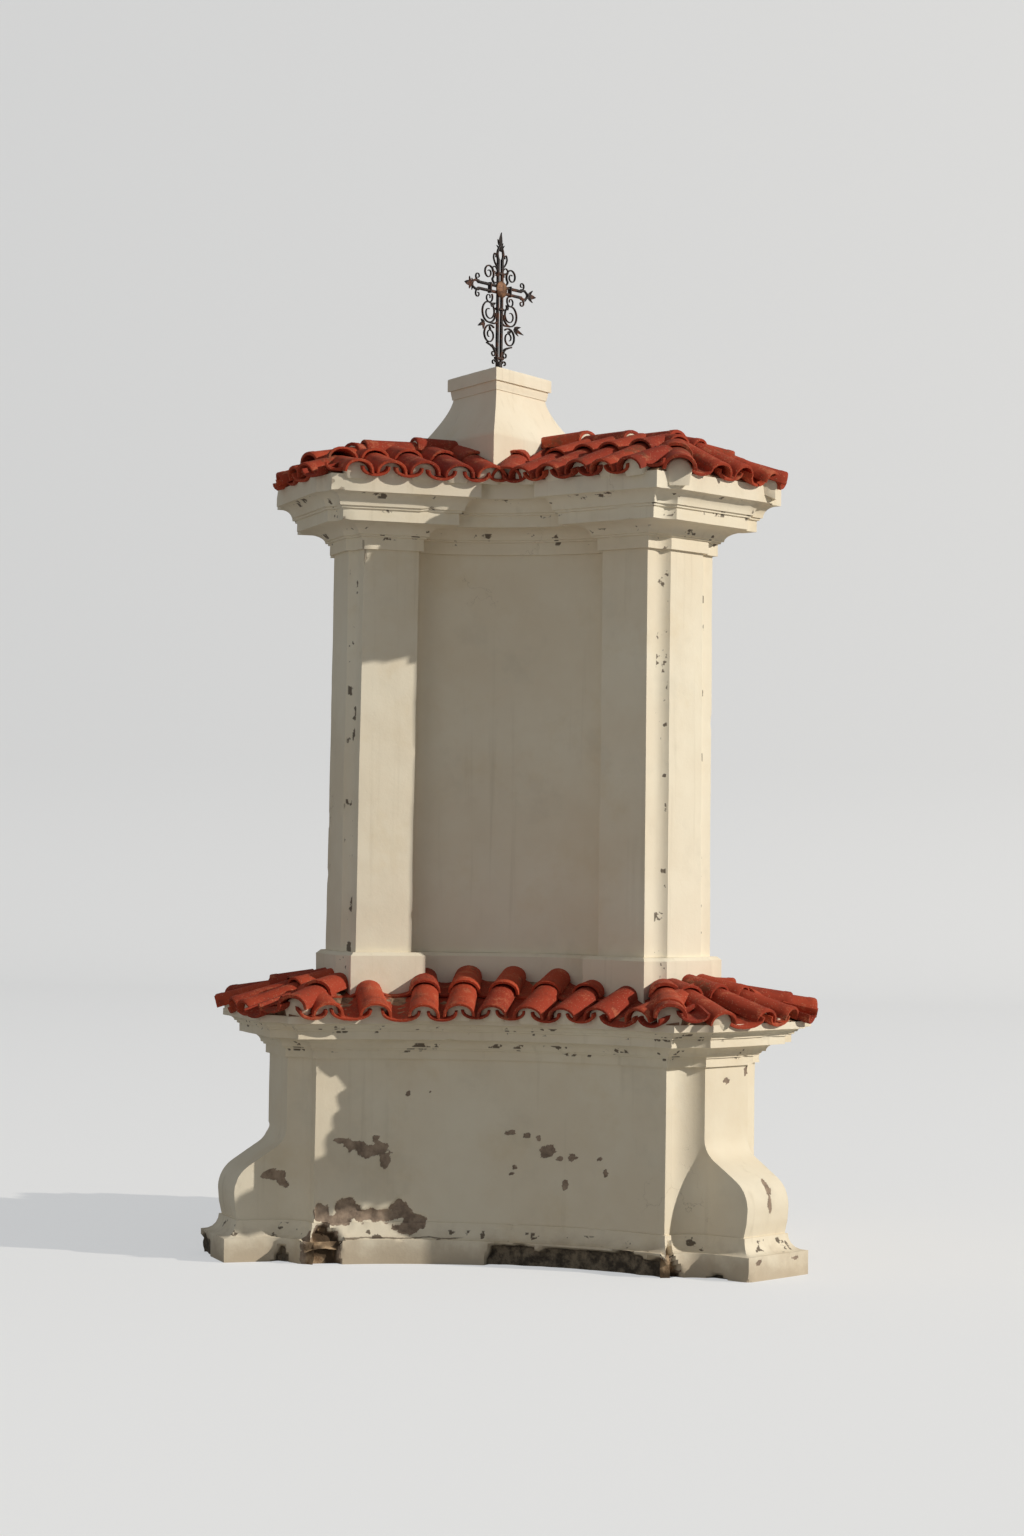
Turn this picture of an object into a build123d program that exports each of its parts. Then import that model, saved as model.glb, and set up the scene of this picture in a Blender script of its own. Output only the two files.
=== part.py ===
# A rendered masonry wayside shrine, three-armed in plan, with two tiled roofs and an iron cross.
# The origin is on the ground at the middle of the plan, +Z is up and the front bay faces -Y.
# Each arm has its own frame: u runs outwards along the arm, v across it.

import os
from math import atan2, cos, pi, radians, sin, sqrt

from build123d import *

# Arms of the plan and the bays between them, by the direction that each one faces
BACK_ANGLE = 90
THIRD_ANGLE = 360 / 3
ARMS = {"right": BACK_ANGLE - THIRD_ANGLE, "back": BACK_ANGLE, "left": BACK_ANGLE + THIRD_ANGLE}
BAYS = {
    "front": BACK_ANGLE + 3 * THIRD_ANGLE / 2,
    "right_rear": BACK_ANGLE - THIRD_ANGLE / 2,
    "left_rear": BACK_ANGLE + THIRD_ANGLE / 2,
}

# Base storey in plan
BASE_WALL = 298            # from an arm's middle to the straight ends of its walls
BASE_WALL_STRAIGHT = 40    # straight stretch of wall beside an arm
BASE_FRONT = 1010          # where the bay walls end
BASE_NECK = 79             # buttress past the ends of the walls, under the cornice
BASE_HALF = 140            # half the width of a buttress
BASE_COVE = 113            # hollow that joins a buttress to the walls

# Base storey in height, with its plinth
BASE_HEIGHT = 837
PLINTH_HEIGHT = 165
PLINTH_BLOCK = 98
PLINTH_PROJECTION = 62
PLINTH_LIP = 8

# Volute front of a buttress
VOLUTE_TOP = 545
VOLUTE_HOLLOW_RADIUS = 100
VOLUTE_BELLY_RADIUS = 135
VOLUTE_BELLY = 217         # belly past the neck
VOLUTE_TUCK = 17           # belly past the shin
VOLUTE_ANGLE = 57
FOOT_PROJECTION = 73

# Lower cornice: heights and projections of its members from the neck up
LOWER_BAND_HEIGHT = 35
LOWER_BAND = 14
LOWER_HOLLOW_HEIGHT = 40
LOWER_CORONA_HEIGHT = 36
LOWER_CORONA = 107
LOWER_GULLET_HEIGHT = 21
LOWER_FASCIA_HEIGHT = 30
LOWER_FASCIA = 165

# Shaft storey in plan, at its top
SHAFT_WALL = 135
SHAFT_PILASTER = 84        # pilaster past the straight ends of the walls
SHAFT_INNER = 576          # where the bay walls end at the pilasters
PILASTER_WIDTH = 240       # along the arm
SHAFT_END = 34            # corner pier past the pilasters
SHAFT_HALF = 102
SHAFT_COVE = 65
SHAFT_SPREAD = 1.013       # bottom of the shaft against its top

# Shaft storey in height
SHAFT_PLINTH_HEIGHT = 255
SHAFT_PLINTH_PROJECTION = 42
SHAFT_PLINTH_CHAMFER = 14
SHAFT_HEIGHT = 1678

# Upper cornice
UPPER_BAND_HEIGHT = 50
UPPER_BAND = 16
UPPER_HOLLOW_HEIGHT = 45
UPPER_CORONA_HEIGHT = 50
UPPER_CORONA = 132
UPPER_GULLET_HEIGHT = 53
UPPER_FASCIA_HEIGHT = 70
UPPER_FASCIA = 204

# Small members of both cornices
FILLET = 9
SOFFIT = 22

# Short chords in which plinths, cornices and eaves follow the hollows of the plan
HOLLOW_FACETS = 2
BAY_CHORDS = 10
COVE_CHORDS = 4

# Roofs: overhang past the fascia, rise of the slopes, thickness at the eaves
LOWER_OVERHANG = 50
LOWER_SLOPE = 0.33
UPPER_OVERHANG = 60
UPPER_SLOPE = 0.38
UPPER_BAY_RADIUS = 120
UPPER_BAY_CHORDS = 4
EAVE_THICKNESS = 58
CORNER_CUT_U = 34
CORNER_CUT_V = 110

# Rows of large cover tiles along the hips and ridges
HIP_WIDTH = 160
HIP_RISE = 80              # crown of the tiles above the slopes' meeting
HIP_ROOT = 90              # how deep the row is bedded
LOWER_HIP_LENGTH = 330
RIDGE_START = 160          # inner end of the ridges, from the middle of the plan

# Cap: a three-sided block that stands turned and off the middle of the roof
CAP_SHIFT_X = -145
CAP_SHIFT_Y = -45
CAP_CORNER_ANGLE = -81
CAP_FOOT_RADIUS = 430
CAP_FOOT_HEIGHT = 158      # upright foot, from the top of the eaves
CAP_NECK_RADIUS = 231
CAP_SWEEP_HEIGHT = 208
CAP_SWEEP_FACETS = 4
CAP_SWEEP_POWER = 1.45
CAP_MOULD_PROJECTION = 15
CAP_MOULD_HEIGHT = 38
CAP_SLAB_PROJECTION = 31
CAP_SLAB_HEIGHT = 54

# Iron cross, upwards from the slab
CROSS_ANGLE = 62
CROSS_FOOT_HEIGHT = 46
CROSS_FOOT_SIZE = 30
CROSS_STEM_ABOVE_ARMS = 162
CROSS_ARM_HEIGHT = 373
CROSS_ARM_REACH = 178
CROSS_BAR = 13
CROSS_GAP = 14
CROSS_DISC_RADIUS = 36
CROSS_DISC_DEPTH = 14
CROSS_TIP_LENGTH = 78
SCROLL_BAR = 8
SCROLL_DEPTH = 10
LOWER_SCROLL_RADIUS = 39
LOWER_SCROLL_DROP = 99     # top of the lower scrolls, below the arms
UPPER_SCROLL_RADIUS = 34
SCROLL_CHORD_ANGLE = 22.5
SCROLL_CHORDS = 13

# Levels that follow from the heights
LOWER_NECK_Z = BASE_HEIGHT
LOWER_TOP_Z = (
    LOWER_NECK_Z + LOWER_BAND_HEIGHT + FILLET + LOWER_HOLLOW_HEIGHT + LOWER_CORONA_HEIGHT
    + FILLET + LOWER_GULLET_HEIGHT + LOWER_FASCIA_HEIGHT
)
SHAFT_Z = LOWER_TOP_Z + SHAFT_PLINTH_HEIGHT
UPPER_NECK_Z = SHAFT_Z + SHAFT_HEIGHT
UPPER_TOP_Z = (
    UPPER_NECK_Z + UPPER_BAND_HEIGHT + FILLET + UPPER_HOLLOW_HEIGHT + UPPER_CORONA_HEIGHT
    + FILLET + UPPER_GULLET_HEIGHT + UPPER_FASCIA_HEIGHT
)
EAVES_Z = UPPER_TOP_Z + EAVE_THICKNESS
CAP_SWEEP_Z = EAVES_Z + CAP_FOOT_HEIGHT
CAP_MOULD_Z = CAP_SWEEP_Z + CAP_SWEEP_HEIGHT
CAP_SLAB_Z = CAP_MOULD_Z + CAP_MOULD_HEIGHT
CAP_TOP_Z = CAP_SLAB_Z + CAP_SLAB_HEIGHT

ROOT3 = sqrt(3)
SHAFT_FRONT = SHAFT_INNER + PILASTER_WIDTH


class Storey:
    """Plan of one storey; the concave bay walls run tangent to the arms."""

    def __init__(self, wall, inner, joint, front, neck, half, cove, pilaster=0):
        self.wall, self.inner, self.joint, self.front = wall, inner, joint, front
        self.end, self.half, self.cove, self.pilaster = front + neck, half, cove, pilaster
        self.bow = inner * ROOT3 - wall

    def path(self, out):
        """Half of an arm's outline, from its end face to the bay wall, moved outwards."""
        hub_u = self.front + self.cove + out
        hub_v = self.half + self.cove + out
        end = self.end + out
        drop = sqrt(self.cove**2 - (hub_u - end) ** 2)
        middle = (atan2(-drop, end - hub_u) + 2 * pi + pi) / 2
        on_cove = (hub_u + self.cove * cos(middle), hub_v + self.cove * sin(middle))
        outer = self.wall + self.pilaster + out
        path = [(end, hub_v - drop), ("through", on_cove), (self.front + out, hub_v)]
        path.append((self.front + out, outer))
        if not self.pilaster:
            return path + [(self.inner, outer)]
        inner = self.inner - out
        return path + [(inner, outer), (inner, self.wall_at(inner, out))]

    def wall_at(self, u, out):
        """How far from the arm's middle the bay wall stands at u."""
        return self.wall + self.bow - sqrt((self.bow - out) ** 2 - (self.inner - u) ** 2)

    def waist(self, out):
        """Distance from the middle of the plan to the middle of a bay wall."""
        return (self.wall + self.bow) * 2 / ROOT3 - (self.bow - out)

    def core_path(self, out):
        """The same for the core, which ends in a flat joint across each arm."""
        path = [(self.inner, self.wall + out)]
        return path if self.joint == self.inner else [(self.joint, self.wall + out)] + path


class Eaves:
    """Plan and slopes of a roof, which bridges the hollows between arms and walls."""

    def __init__(self, half, end, radius, slope, chords):
        self.half, self.end, self.radius, self.slope, self.chords = half, end, radius, slope, chords
        self.hub = (half + radius) * 2 / ROOT3

    def path(self):
        corner = [(self.end, self.half - CORNER_CUT_V), (self.end - CORNER_CUT_U, self.half)]
        return corner + [(self.hub / 2, self.half)]

    def face(self, z):
        return plan_face(self.path(), self.hub - self.radius, z, bay_chords=self.chords)

    def rise(self, run):
        return self.slope * run

    def level_face(self, bay, run, z_eaves):
        """Space outside the level line round a bay that lies that far in from the eaves."""
        z = z_eaves + self.rise(run)
        far = 3 * (self.hub + self.end)
        spread = THIRD_ANGLE / 2
        turns = [bay + 180 + spread * (step / self.chords - 1 / 2) for step in range(self.chords + 1)]
        hub = at(bay, self.hub, 0, 0)
        line = [hub + at(turn, self.radius + run, 0, z) for turn in turns]
        ends = [line[0] + at(turns[0] - 90, far, 0, 0), line[-1] + at(turns[-1] + 90, far, 0, 0)]
        return polygon_face([ends[0]] + line + [ends[1]])


BASE = Storey(
    BASE_WALL, BASE_FRONT - BASE_WALL_STRAIGHT, BASE_FRONT, BASE_FRONT, BASE_NECK, BASE_HALF, BASE_COVE
)
SHAFT = Storey(
    SHAFT_WALL, SHAFT_INNER, SHAFT_INNER, SHAFT_FRONT, SHAFT_END, SHAFT_HALF, SHAFT_COVE, SHAFT_PILASTER
)
LOWER_EAVE_OUT = LOWER_FASCIA + LOWER_OVERHANG
UPPER_EAVE_OUT = UPPER_FASCIA + UPPER_OVERHANG
LOWER_EAVES = Eaves(
    BASE_WALL + LOWER_EAVE_OUT, BASE.end + LOWER_EAVE_OUT, BASE.bow - LOWER_EAVE_OUT, LOWER_SLOPE, BAY_CHORDS
)
UPPER_EAVES = Eaves(
    SHAFT_WALL + SHAFT_PILASTER + UPPER_EAVE_OUT, SHAFT.end + UPPER_EAVE_OUT, UPPER_BAY_RADIUS,
    UPPER_SLOPE, UPPER_BAY_CHORDS,
)


def at(angle, u, v, z, spread=1.0):
    """Point of an arm's frame in the shrine's frame."""
    turn = radians(angle)
    return Vector(
        spread * (u * cos(turn) - v * sin(turn)),
        spread * (u * sin(turn) + v * cos(turn)),
        z,
    )


def arc_edges(points, chords):
    """Arc through three points, or that many chords of it."""
    arc = Edge.make_three_point_arc(*points)
    if not chords:
        return [arc]
    stops = [arc @ (step / chords) for step in range(chords + 1)]
    return [Edge.make_line(start, finish) for start, finish in zip(stops, stops[1:])]


def edges_along(angle, path, z, spread=1.0, chords=0):
    """Edges through the points of a path; a 'through' point makes its stretch an arc."""
    edges = []
    start, through = None, None
    for item in path:
        if item[0] == "through":
            through = item[1]
            continue
        if start is not None and through is None:
            edges.append(Edge.make_line(at(angle, *start, z, spread), at(angle, *item, z, spread)))
        elif start is not None:
            edges += arc_edges([at(angle, *point, z, spread) for point in (start, through, item)], chords)
        start, through = item, None
    return edges


def both_sides(path):
    """A half path with its mirror image before it, walked counterclockwise round the arm."""
    flipped = []
    for item in reversed(path):
        if item[0] == "through":
            flipped.append(("through", (item[1][0], -item[1][1])))
        else:
            flipped.append((item[0], -item[1]))
    return flipped + path


def plan_face(path, waist, z, spread=1.0, bay_chords=0, cove_chords=0):
    """Closed plan of three equal arms and the concave bays between them."""
    edges = []
    last_u, last_v = path[-1]
    for angle in ARMS.values():
        edges += edges_along(angle, both_sides(path), z, spread, cove_chords)
        start = at(angle, last_u, last_v, z, spread)
        middle = at(angle + THIRD_ANGLE / 2, waist, 0, z, spread)
        finish = at(angle + THIRD_ANGLE, last_u, -last_v, z, spread)
        edges += arc_edges([start, middle, finish], bay_chords)
    return Face(Wire(edges))


def arm_face(angle, path, z, spread=1.0, chords=0):
    """Closed plan of a piece of one arm, cut off square across the arm."""
    last_u, last_v = path[-1]
    edges = edges_along(angle, both_sides(path), z, spread, chords)
    ends = [at(angle, last_u, way * last_v, z, spread) for way in (1, -1)]
    edges.append(Edge.make_line(*ends))
    return Face(Wire(edges))


def storey_face(storey, out, z):
    """Whole plan of a storey's moulding, moved outwards, in chords."""
    return plan_face(storey.path(out), storey.waist(out), z, 1.0, BAY_CHORDS, COVE_CHORDS)


def core_face(storey, out, z, spread=1.0, chords=0):
    return plan_face(storey.core_path(out), storey.waist(out), z, spread, chords)


def polygon_face(points):
    return Face(Wire.make_polygon(points, close=True))


def upright(face, height):
    return extrude(face, amount=height, dir=(0, 0, 1))


def ruled(faces):
    return loft(faces, ruled=True)


def stacked(face_at, members):
    """Mouldings on each other; a member lists its (projection, height) points upwards."""
    body = None
    for member in members:
        straight = len(member) == 2 and member[0][0] == member[1][0]
        if straight:
            layer = upright(face_at(*member[0]), member[1][1] - member[0][1])
        else:
            layer = ruled([face_at(out, z) for out, z in member])
        body = layer if body is None else body + layer
    return body


def hollow(out_from, z_from, out_to, z_to):
    """Hollow quarter-round that leaves its lower edge upright and ends level."""
    points = []
    for step in range(HOLLOW_FACETS + 1):
        turn = radians(90 * step / HOLLOW_FACETS)
        out = out_from + (out_to - out_from) * (1 - cos(turn))
        points.append((out, z_from + (z_to - z_from) * sin(turn)))
    return points


def sector(angle, z_from, z_to):
    """Third of the plan round one direction, as a wedge of space."""
    reach = 4 * BASE.end
    corners = [(0, 0), (reach, -reach * ROOT3), (reach, reach * ROOT3)]
    return upright(polygon_face([at(angle, u, v, z_from) for u, v in corners]), z_to - z_from)


def root_path(reach, out):
    """Half plan of a buttress: its side face, the cove and the end of the bay wall."""
    hub_u = BASE_FRONT + BASE_COVE + out
    hub_v = BASE_HALF + BASE_COVE + out
    on_cove = (hub_u - BASE_COVE / sqrt(2), hub_v - BASE_COVE / sqrt(2))
    path = [(reach, BASE_HALF + out), (hub_u, BASE_HALF + out)]
    path += [("through", on_cove), (BASE_FRONT + out, hub_v)]
    if out:
        path.append((BASE_FRONT + out, BASE_WALL + out))
        path.append((BASE_FRONT, BASE_WALL + out))
    return path


SHIN = BASE.end + VOLUTE_BELLY - VOLUTE_TUCK


def volute_profile(angle):
    """Side view of a buttress: neck, hollow, ramp, belly and shin, on the arm's middle plane."""
    turn = radians(VOLUTE_ANGLE)
    ramp_way = (sin(turn), -cos(turn))
    ramp_run = VOLUTE_BELLY - (VOLUTE_HOLLOW_RADIUS + VOLUTE_BELLY_RADIUS) * (1 - cos(turn))
    hollow_arc = JernArc((BASE.end, VOLUTE_TOP), (0, -1), VOLUTE_HOLLOW_RADIUS, VOLUTE_ANGLE)
    ramp = Line(hollow_arc @ 1, hollow_arc @ 1 + Vector(*ramp_way) * (ramp_run / sin(turn)))
    belly_arc = JernArc(ramp @ 1, ramp_way, VOLUTE_BELLY_RADIUS, -VOLUTE_ANGLE)
    belly = belly_arc @ 1
    tuck = ThreePointArc(
        belly, (belly.X - VOLUTE_TUCK / 4, (belly.Y + PLINTH_HEIGHT) / 2), (SHIN, PLINTH_HEIGHT)
    )
    rest = Polyline(
        (SHIN, PLINTH_HEIGHT), (SHIN, 0), (BASE_FRONT, 0), (BASE_FRONT, BASE_HEIGHT),
        (BASE.end, BASE_HEIGHT), (BASE.end, VOLUTE_TOP),
    )
    outline = Wire([part.edge() for part in (hollow_arc, ramp, belly_arc, tuck)] + rest.edges())
    way = radians(angle)
    plane = Plane(origin=(0, 0, 0), x_dir=(cos(way), sin(way), 0), z_dir=(sin(way), -cos(way), 0))
    return plane * Face(outline)


def buttress(angle):
    """Volute buttress with the coves that join it to the walls."""
    root = upright(arm_face(angle, root_path(SHIN + 2 * VOLUTE_BELLY, 0), 0), BASE_HEIGHT)
    return root & extrude(volute_profile(angle), amount=BASE_WALL + BASE_HALF, both=True)


def plinth_members():
    """Projection and height of the plinth: a block with a hollow above it."""
    block = [(PLINTH_PROJECTION, 0), (PLINTH_PROJECTION, PLINTH_BLOCK)]
    sweep = hollow(PLINTH_LIP, PLINTH_HEIGHT, PLINTH_PROJECTION - PLINTH_LIP, PLINTH_BLOCK)
    return [block, sweep[::-1]]


def foot(angle, pier):
    """Plinth that wraps a buttress."""

    def foot_face(out, z):
        reach = SHIN + out * FOOT_PROJECTION / PLINTH_PROJECTION
        return arm_face(angle, root_path(reach, out), z, 1.0, COVE_CHORDS)

    return stacked(foot_face, plinth_members()) - pier


def bay_plinth(core):
    """Plinth along the three bay walls."""
    return stacked(lambda out, z: core_face(BASE, out, z, 1.0, BAY_CHORDS), plinth_members()) - core


def cornice(storey, neck_z, band_height, band, hollow_height, corona_height, corona,
            gullet_height, fascia_height, fascia):
    """Neck band, hollow, corona, second hollow and fascia, with fillets between them."""
    band_z = neck_z + band_height
    hollow_z = band_z + FILLET
    corona_z = hollow_z + hollow_height
    fillet_z = corona_z + corona_height
    gullet_z = fillet_z + FILLET
    fascia_z = gullet_z + gullet_height
    members = [
        [(band, neck_z), (band, band_z)],
        [(band + FILLET, band_z), (band + FILLET, hollow_z)],
        hollow(band + 2 * FILLET, hollow_z, corona - SOFFIT, corona_z),
        [(corona, corona_z), (corona, fillet_z)],
        [(corona + FILLET, fillet_z), (corona + FILLET, gullet_z)],
        hollow(corona + 2 * FILLET, gullet_z, fascia - FILLET, fascia_z),
        [(fascia, fascia_z), (fascia, fascia_z + fascia_height)],
    ]

    return stacked(lambda out, z: storey_face(storey, out, z), members)


def roof(eaves, z_from):
    """Roof bed: a level eaves slab under slopes that rise from every eave."""
    z_eaves = z_from + EAVE_THICKNESS
    reach = eaves.hub + eaves.end
    peak_z = z_eaves + eaves.rise(eaves.hub)
    bed = upright(eaves.face(z_from), peak_z - z_from)
    for bay in BAYS.values():
        bed -= ruled([eaves.level_face(bay, run, z_eaves) for run in (-eaves.radius / 2, reach)])
    for angle in ARMS.values():
        outside = eaves.end + CORNER_CUT_U
        profile = [
            (outside, z_eaves - eaves.rise(CORNER_CUT_U)),
            (outside, peak_z + EAVE_THICKNESS),
            (0, peak_z + EAVE_THICKNESS),
            (0, z_eaves + eaves.rise(eaves.end)),
        ]
        section = polygon_face([at(angle, u, 0, z) for u, z in profile])
        bed -= extrude(section, amount=2 * eaves.half, dir=at(angle + 90, 1, 0, 0), both=True)
    return bed


def tile_row(start, finish):
    """Large cover tiles one over the next along a hip or ridge, as one bar with five upper sides."""
    way = (finish - start).normalized()
    across = way.cross(Vector(0, 0, 1)).normalized()
    up = across.cross(way)
    half = HIP_WIDTH / 2
    right = [(half, -HIP_ROOT), (half, 0), (0.8 * half, 0.65 * HIP_RISE), (0.3 * half, HIP_RISE)]
    section = polygon_face([start + across * x + up * y for x, y in mirror_line(right)])
    return extrude(section, amount=(finish - start).length, dir=way)


def hip_corner(eaves, angle, side, z_eaves):
    """Where a hip begins, halfway along the cut corner of the eaves."""
    return at(angle, eaves.end - CORNER_CUT_U / 2, side * (eaves.half - CORNER_CUT_V / 2), z_eaves)


def lower_hips(angle):
    """Short rows on both corners of a lower roof arm."""
    z_eaves = LOWER_TOP_Z + EAVE_THICKNESS
    rows = []
    for side in (1, -1):
        inwards = at(angle, -1, -side, LOWER_EAVES.slope)
        corner = hip_corner(LOWER_EAVES, angle, side, z_eaves)
        rows.append(tile_row(corner, corner + inwards * (LOWER_HIP_LENGTH / sqrt(2))))
    return rows[0] + rows[1]


def upper_hips(angle):
    """Rows on both hips and the ridge of an upper roof arm, which meet at its apex."""
    half = UPPER_EAVES.half
    peak_z = EAVES_Z + UPPER_EAVES.rise(half)
    apex = at(angle, UPPER_EAVES.end - half, 0, peak_z)
    rows = tile_row(at(angle, RIDGE_START, 0, peak_z), apex)
    for side in (1, -1):
        rows += tile_row(hip_corner(UPPER_EAVES, angle, side, EAVES_Z), apex)
    return rows


def write(name, body):
    """One file for each piece."""
    shape = body.solids()[0] if len(body.solids()) == 1 else body
    shape.label = name
    export_step(shape, os.path.join("parts", name + ".step"))


def cap_face(radius, z):
    corners = [at(CAP_CORNER_ANGLE + THIRD_ANGLE * step, radius, 0, z) for step in range(3)]
    return polygon_face([corner + Vector(CAP_SHIFT_X, CAP_SHIFT_Y, 0) for corner in corners])


def cap_pieces(roof_bed):
    """Foot and sweep of the cap, bedded on the roof, its moulding and its slab."""
    foot_block = upright(cap_face(CAP_FOOT_RADIUS, EAVES_Z), CAP_FOOT_HEIGHT)
    faces = []
    for step in range(CAP_SWEEP_FACETS + 1):
        part = step / CAP_SWEEP_FACETS
        radius = CAP_NECK_RADIUS + (CAP_FOOT_RADIUS - CAP_NECK_RADIUS) * (1 - part) ** CAP_SWEEP_POWER
        faces.append(cap_face(radius, CAP_SWEEP_Z + part * CAP_SWEEP_HEIGHT))
    moulding = [
        cap_face(CAP_NECK_RADIUS + CAP_MOULD_PROJECTION / 2, CAP_MOULD_Z),
        cap_face(CAP_NECK_RADIUS + CAP_MOULD_PROJECTION, CAP_SLAB_Z),
    ]
    slab = upright(cap_face(CAP_NECK_RADIUS + CAP_SLAB_PROJECTION, CAP_SLAB_Z), CAP_SLAB_HEIGHT)
    block = foot_block + ruled(faces) - roof_bed
    return {"cap_block": block, "cap_moulding": ruled(moulding), "cap_slab": slab}


# The cross is drawn in its own plane, x along the arms and y up from the slab
CROSS_WAY = radians(CROSS_ANGLE)
CROSS_PLANE = Plane(
    origin=(CAP_SHIFT_X, CAP_SHIFT_Y, CAP_TOP_Z),
    x_dir=(cos(CROSS_WAY), sin(CROSS_WAY), 0),
    z_dir=(sin(CROSS_WAY), -cos(CROSS_WAY), 0),
)
STEM_TOP = CROSS_ARM_HEIGHT + CROSS_STEM_ABOVE_ARMS
PAIR_HALF = CROSS_GAP / 2 + CROSS_BAR
SCROLL_SEAT = PAIR_HALF + SCROLL_BAR / 2


def ironwork(sketch, depth):
    """Flat ironwork of the cross, centred on its plane."""
    return extrude(CROSS_PLANE * sketch, amount=depth / 2, both=True)


def bar(x_from, y_from, x_to, y_to):
    return Pos((x_from + x_to) / 2, (y_from + y_to) / 2) * Rectangle(abs(x_to - x_from), abs(y_to - y_from))


def cross_stem():
    """Two upright bars with ties at the foot, below and above the disc and at the head."""
    bars = bar(-PAIR_HALF, CROSS_FOOT_HEIGHT, -CROSS_GAP / 2, STEM_TOP)
    bars += bar(CROSS_GAP / 2, CROSS_FOOT_HEIGHT, PAIR_HALF, STEM_TOP)
    ties = (CROSS_FOOT_HEIGHT, CROSS_ARM_HEIGHT - 2 * PAIR_HALF, CROSS_ARM_HEIGHT + 2 * PAIR_HALF)
    for y in ties + (STEM_TOP - CROSS_BAR,):
        bars += bar(-PAIR_HALF, y, PAIR_HALF, y + CROSS_BAR)
    return ironwork(bars, CROSS_BAR)


def cross_arm(side):
    """Two level bars from the stem outwards, joined at their end."""
    near, far = side * PAIR_HALF, side * CROSS_ARM_REACH
    low, high = CROSS_ARM_HEIGHT - PAIR_HALF, CROSS_ARM_HEIGHT + PAIR_HALF
    bars = bar(near, low, far, low + CROSS_BAR) + bar(near, high - CROSS_BAR, far, high)
    bars += bar(far - side * CROSS_BAR, low, far, high)
    return ironwork(bars, CROSS_BAR)


def cross_tip(x, y, turn):
    """Leaf finial at the end of a bar pair: a bud between two side leaves."""
    length, half = CROSS_TIP_LENGTH, PAIR_HALF
    bud = [(0.3 * half, 0.2 * length), (0.6 * half, 0.5 * length), (0, length)]
    leaf = [(0.3 * half, 0.16 * length), (1.3 * half, 0.44 * length)]
    leaf += [(1.1 * half, 0.54 * length), (0, 0.34 * length)]
    outline = make_face(Polyline(*mirror_line([(half, 0)] + bud), close=True))
    outline += make_face(Polyline(*mirror_line(leaf), close=True))
    return ironwork(Pos(x, y) * Rot(0, 0, turn) * outline, SCROLL_DEPTH)


def mirror_line(points):
    """Outline through the points and back through their mirror images, without doubles."""
    return points + [(-x, y) for x, y in reversed(points) if x]


def ring(side, x, y, radius, start):
    """Open ring of flat bar in short chords; the left one is the mirror image of the right one."""

    def rim(reach):
        turns = [radians(start + SCROLL_CHORD_ANGLE * step) for step in range(SCROLL_CHORDS + 1)]
        return [(side * (x + reach * cos(turn)), y + reach * sin(turn)) for turn in turns]

    outline = rim(radius + SCROLL_BAR / 2) + rim(radius - SCROLL_BAR / 2)[::-1]
    return make_face(Polyline(*outline, close=True))


def lower_scroll(side):
    """Two open rings beside the stem, one on the other, between its foot and the arms."""
    radius = LOWER_SCROLL_RADIUS
    x = SCROLL_SEAT + radius
    upper_y = CROSS_ARM_HEIGHT - LOWER_SCROLL_DROP
    rings = ring(side, x, upper_y, radius, -90) + ring(side, x, upper_y - 2 * radius, radius, 90)
    return ironwork(rings, SCROLL_DEPTH)


def upper_scroll(side):
    """Open ring in the angle between the stem and an arm."""
    seat = SCROLL_SEAT + UPPER_SCROLL_RADIUS
    return ironwork(ring(side, seat, CROSS_ARM_HEIGHT + seat, UPPER_SCROLL_RADIUS, -90), SCROLL_DEPTH)


def build_base():
    core = upright(core_face(BASE, 0, 0), BASE_HEIGHT)
    write("base_core", core)
    plinth = bay_plinth(core)
    for name, angle in BAYS.items():
        write(name + "_plinth", plinth & sector(angle, 0, PLINTH_HEIGHT))
    for name, angle in ARMS.items():
        pier = buttress(angle)
        write(name + "_buttress", pier)
        write(name + "_foot", foot(angle, pier))
    body = cornice(
        BASE, LOWER_NECK_Z, LOWER_BAND_HEIGHT, LOWER_BAND, LOWER_HOLLOW_HEIGHT, LOWER_CORONA_HEIGHT,
        LOWER_CORONA, LOWER_GULLET_HEIGHT, LOWER_FASCIA_HEIGHT, LOWER_FASCIA,
    )
    for name, angle in ARMS.items():
        write(name + "_lower_cornice", body & sector(angle, LOWER_NECK_Z, LOWER_TOP_Z))


def build_shaft_plinth():
    out, shoulder_z = SHAFT_PLINTH_PROJECTION, SHAFT_Z - SHAFT_PLINTH_CHAMFER
    block = [(out, LOWER_TOP_Z), (out, shoulder_z)]
    chamfer = [(out, shoulder_z), (out - SHAFT_PLINTH_CHAMFER, SHAFT_Z)]
    write("shaft_plinth", stacked(lambda out, z: storey_face(SHAFT, out, z), [block, chamfer]))
    bed = roof(LOWER_EAVES, LOWER_TOP_Z) - upright(storey_face(SHAFT, out, LOWER_TOP_Z), SHAFT_HEIGHT)
    for name, angle in ARMS.items():
        arm = bed & sector(angle, LOWER_TOP_Z, UPPER_NECK_Z)
        write(name + "_lower_roof", arm + (lower_hips(angle) & sector(angle, LOWER_TOP_Z, UPPER_NECK_Z)))


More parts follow.
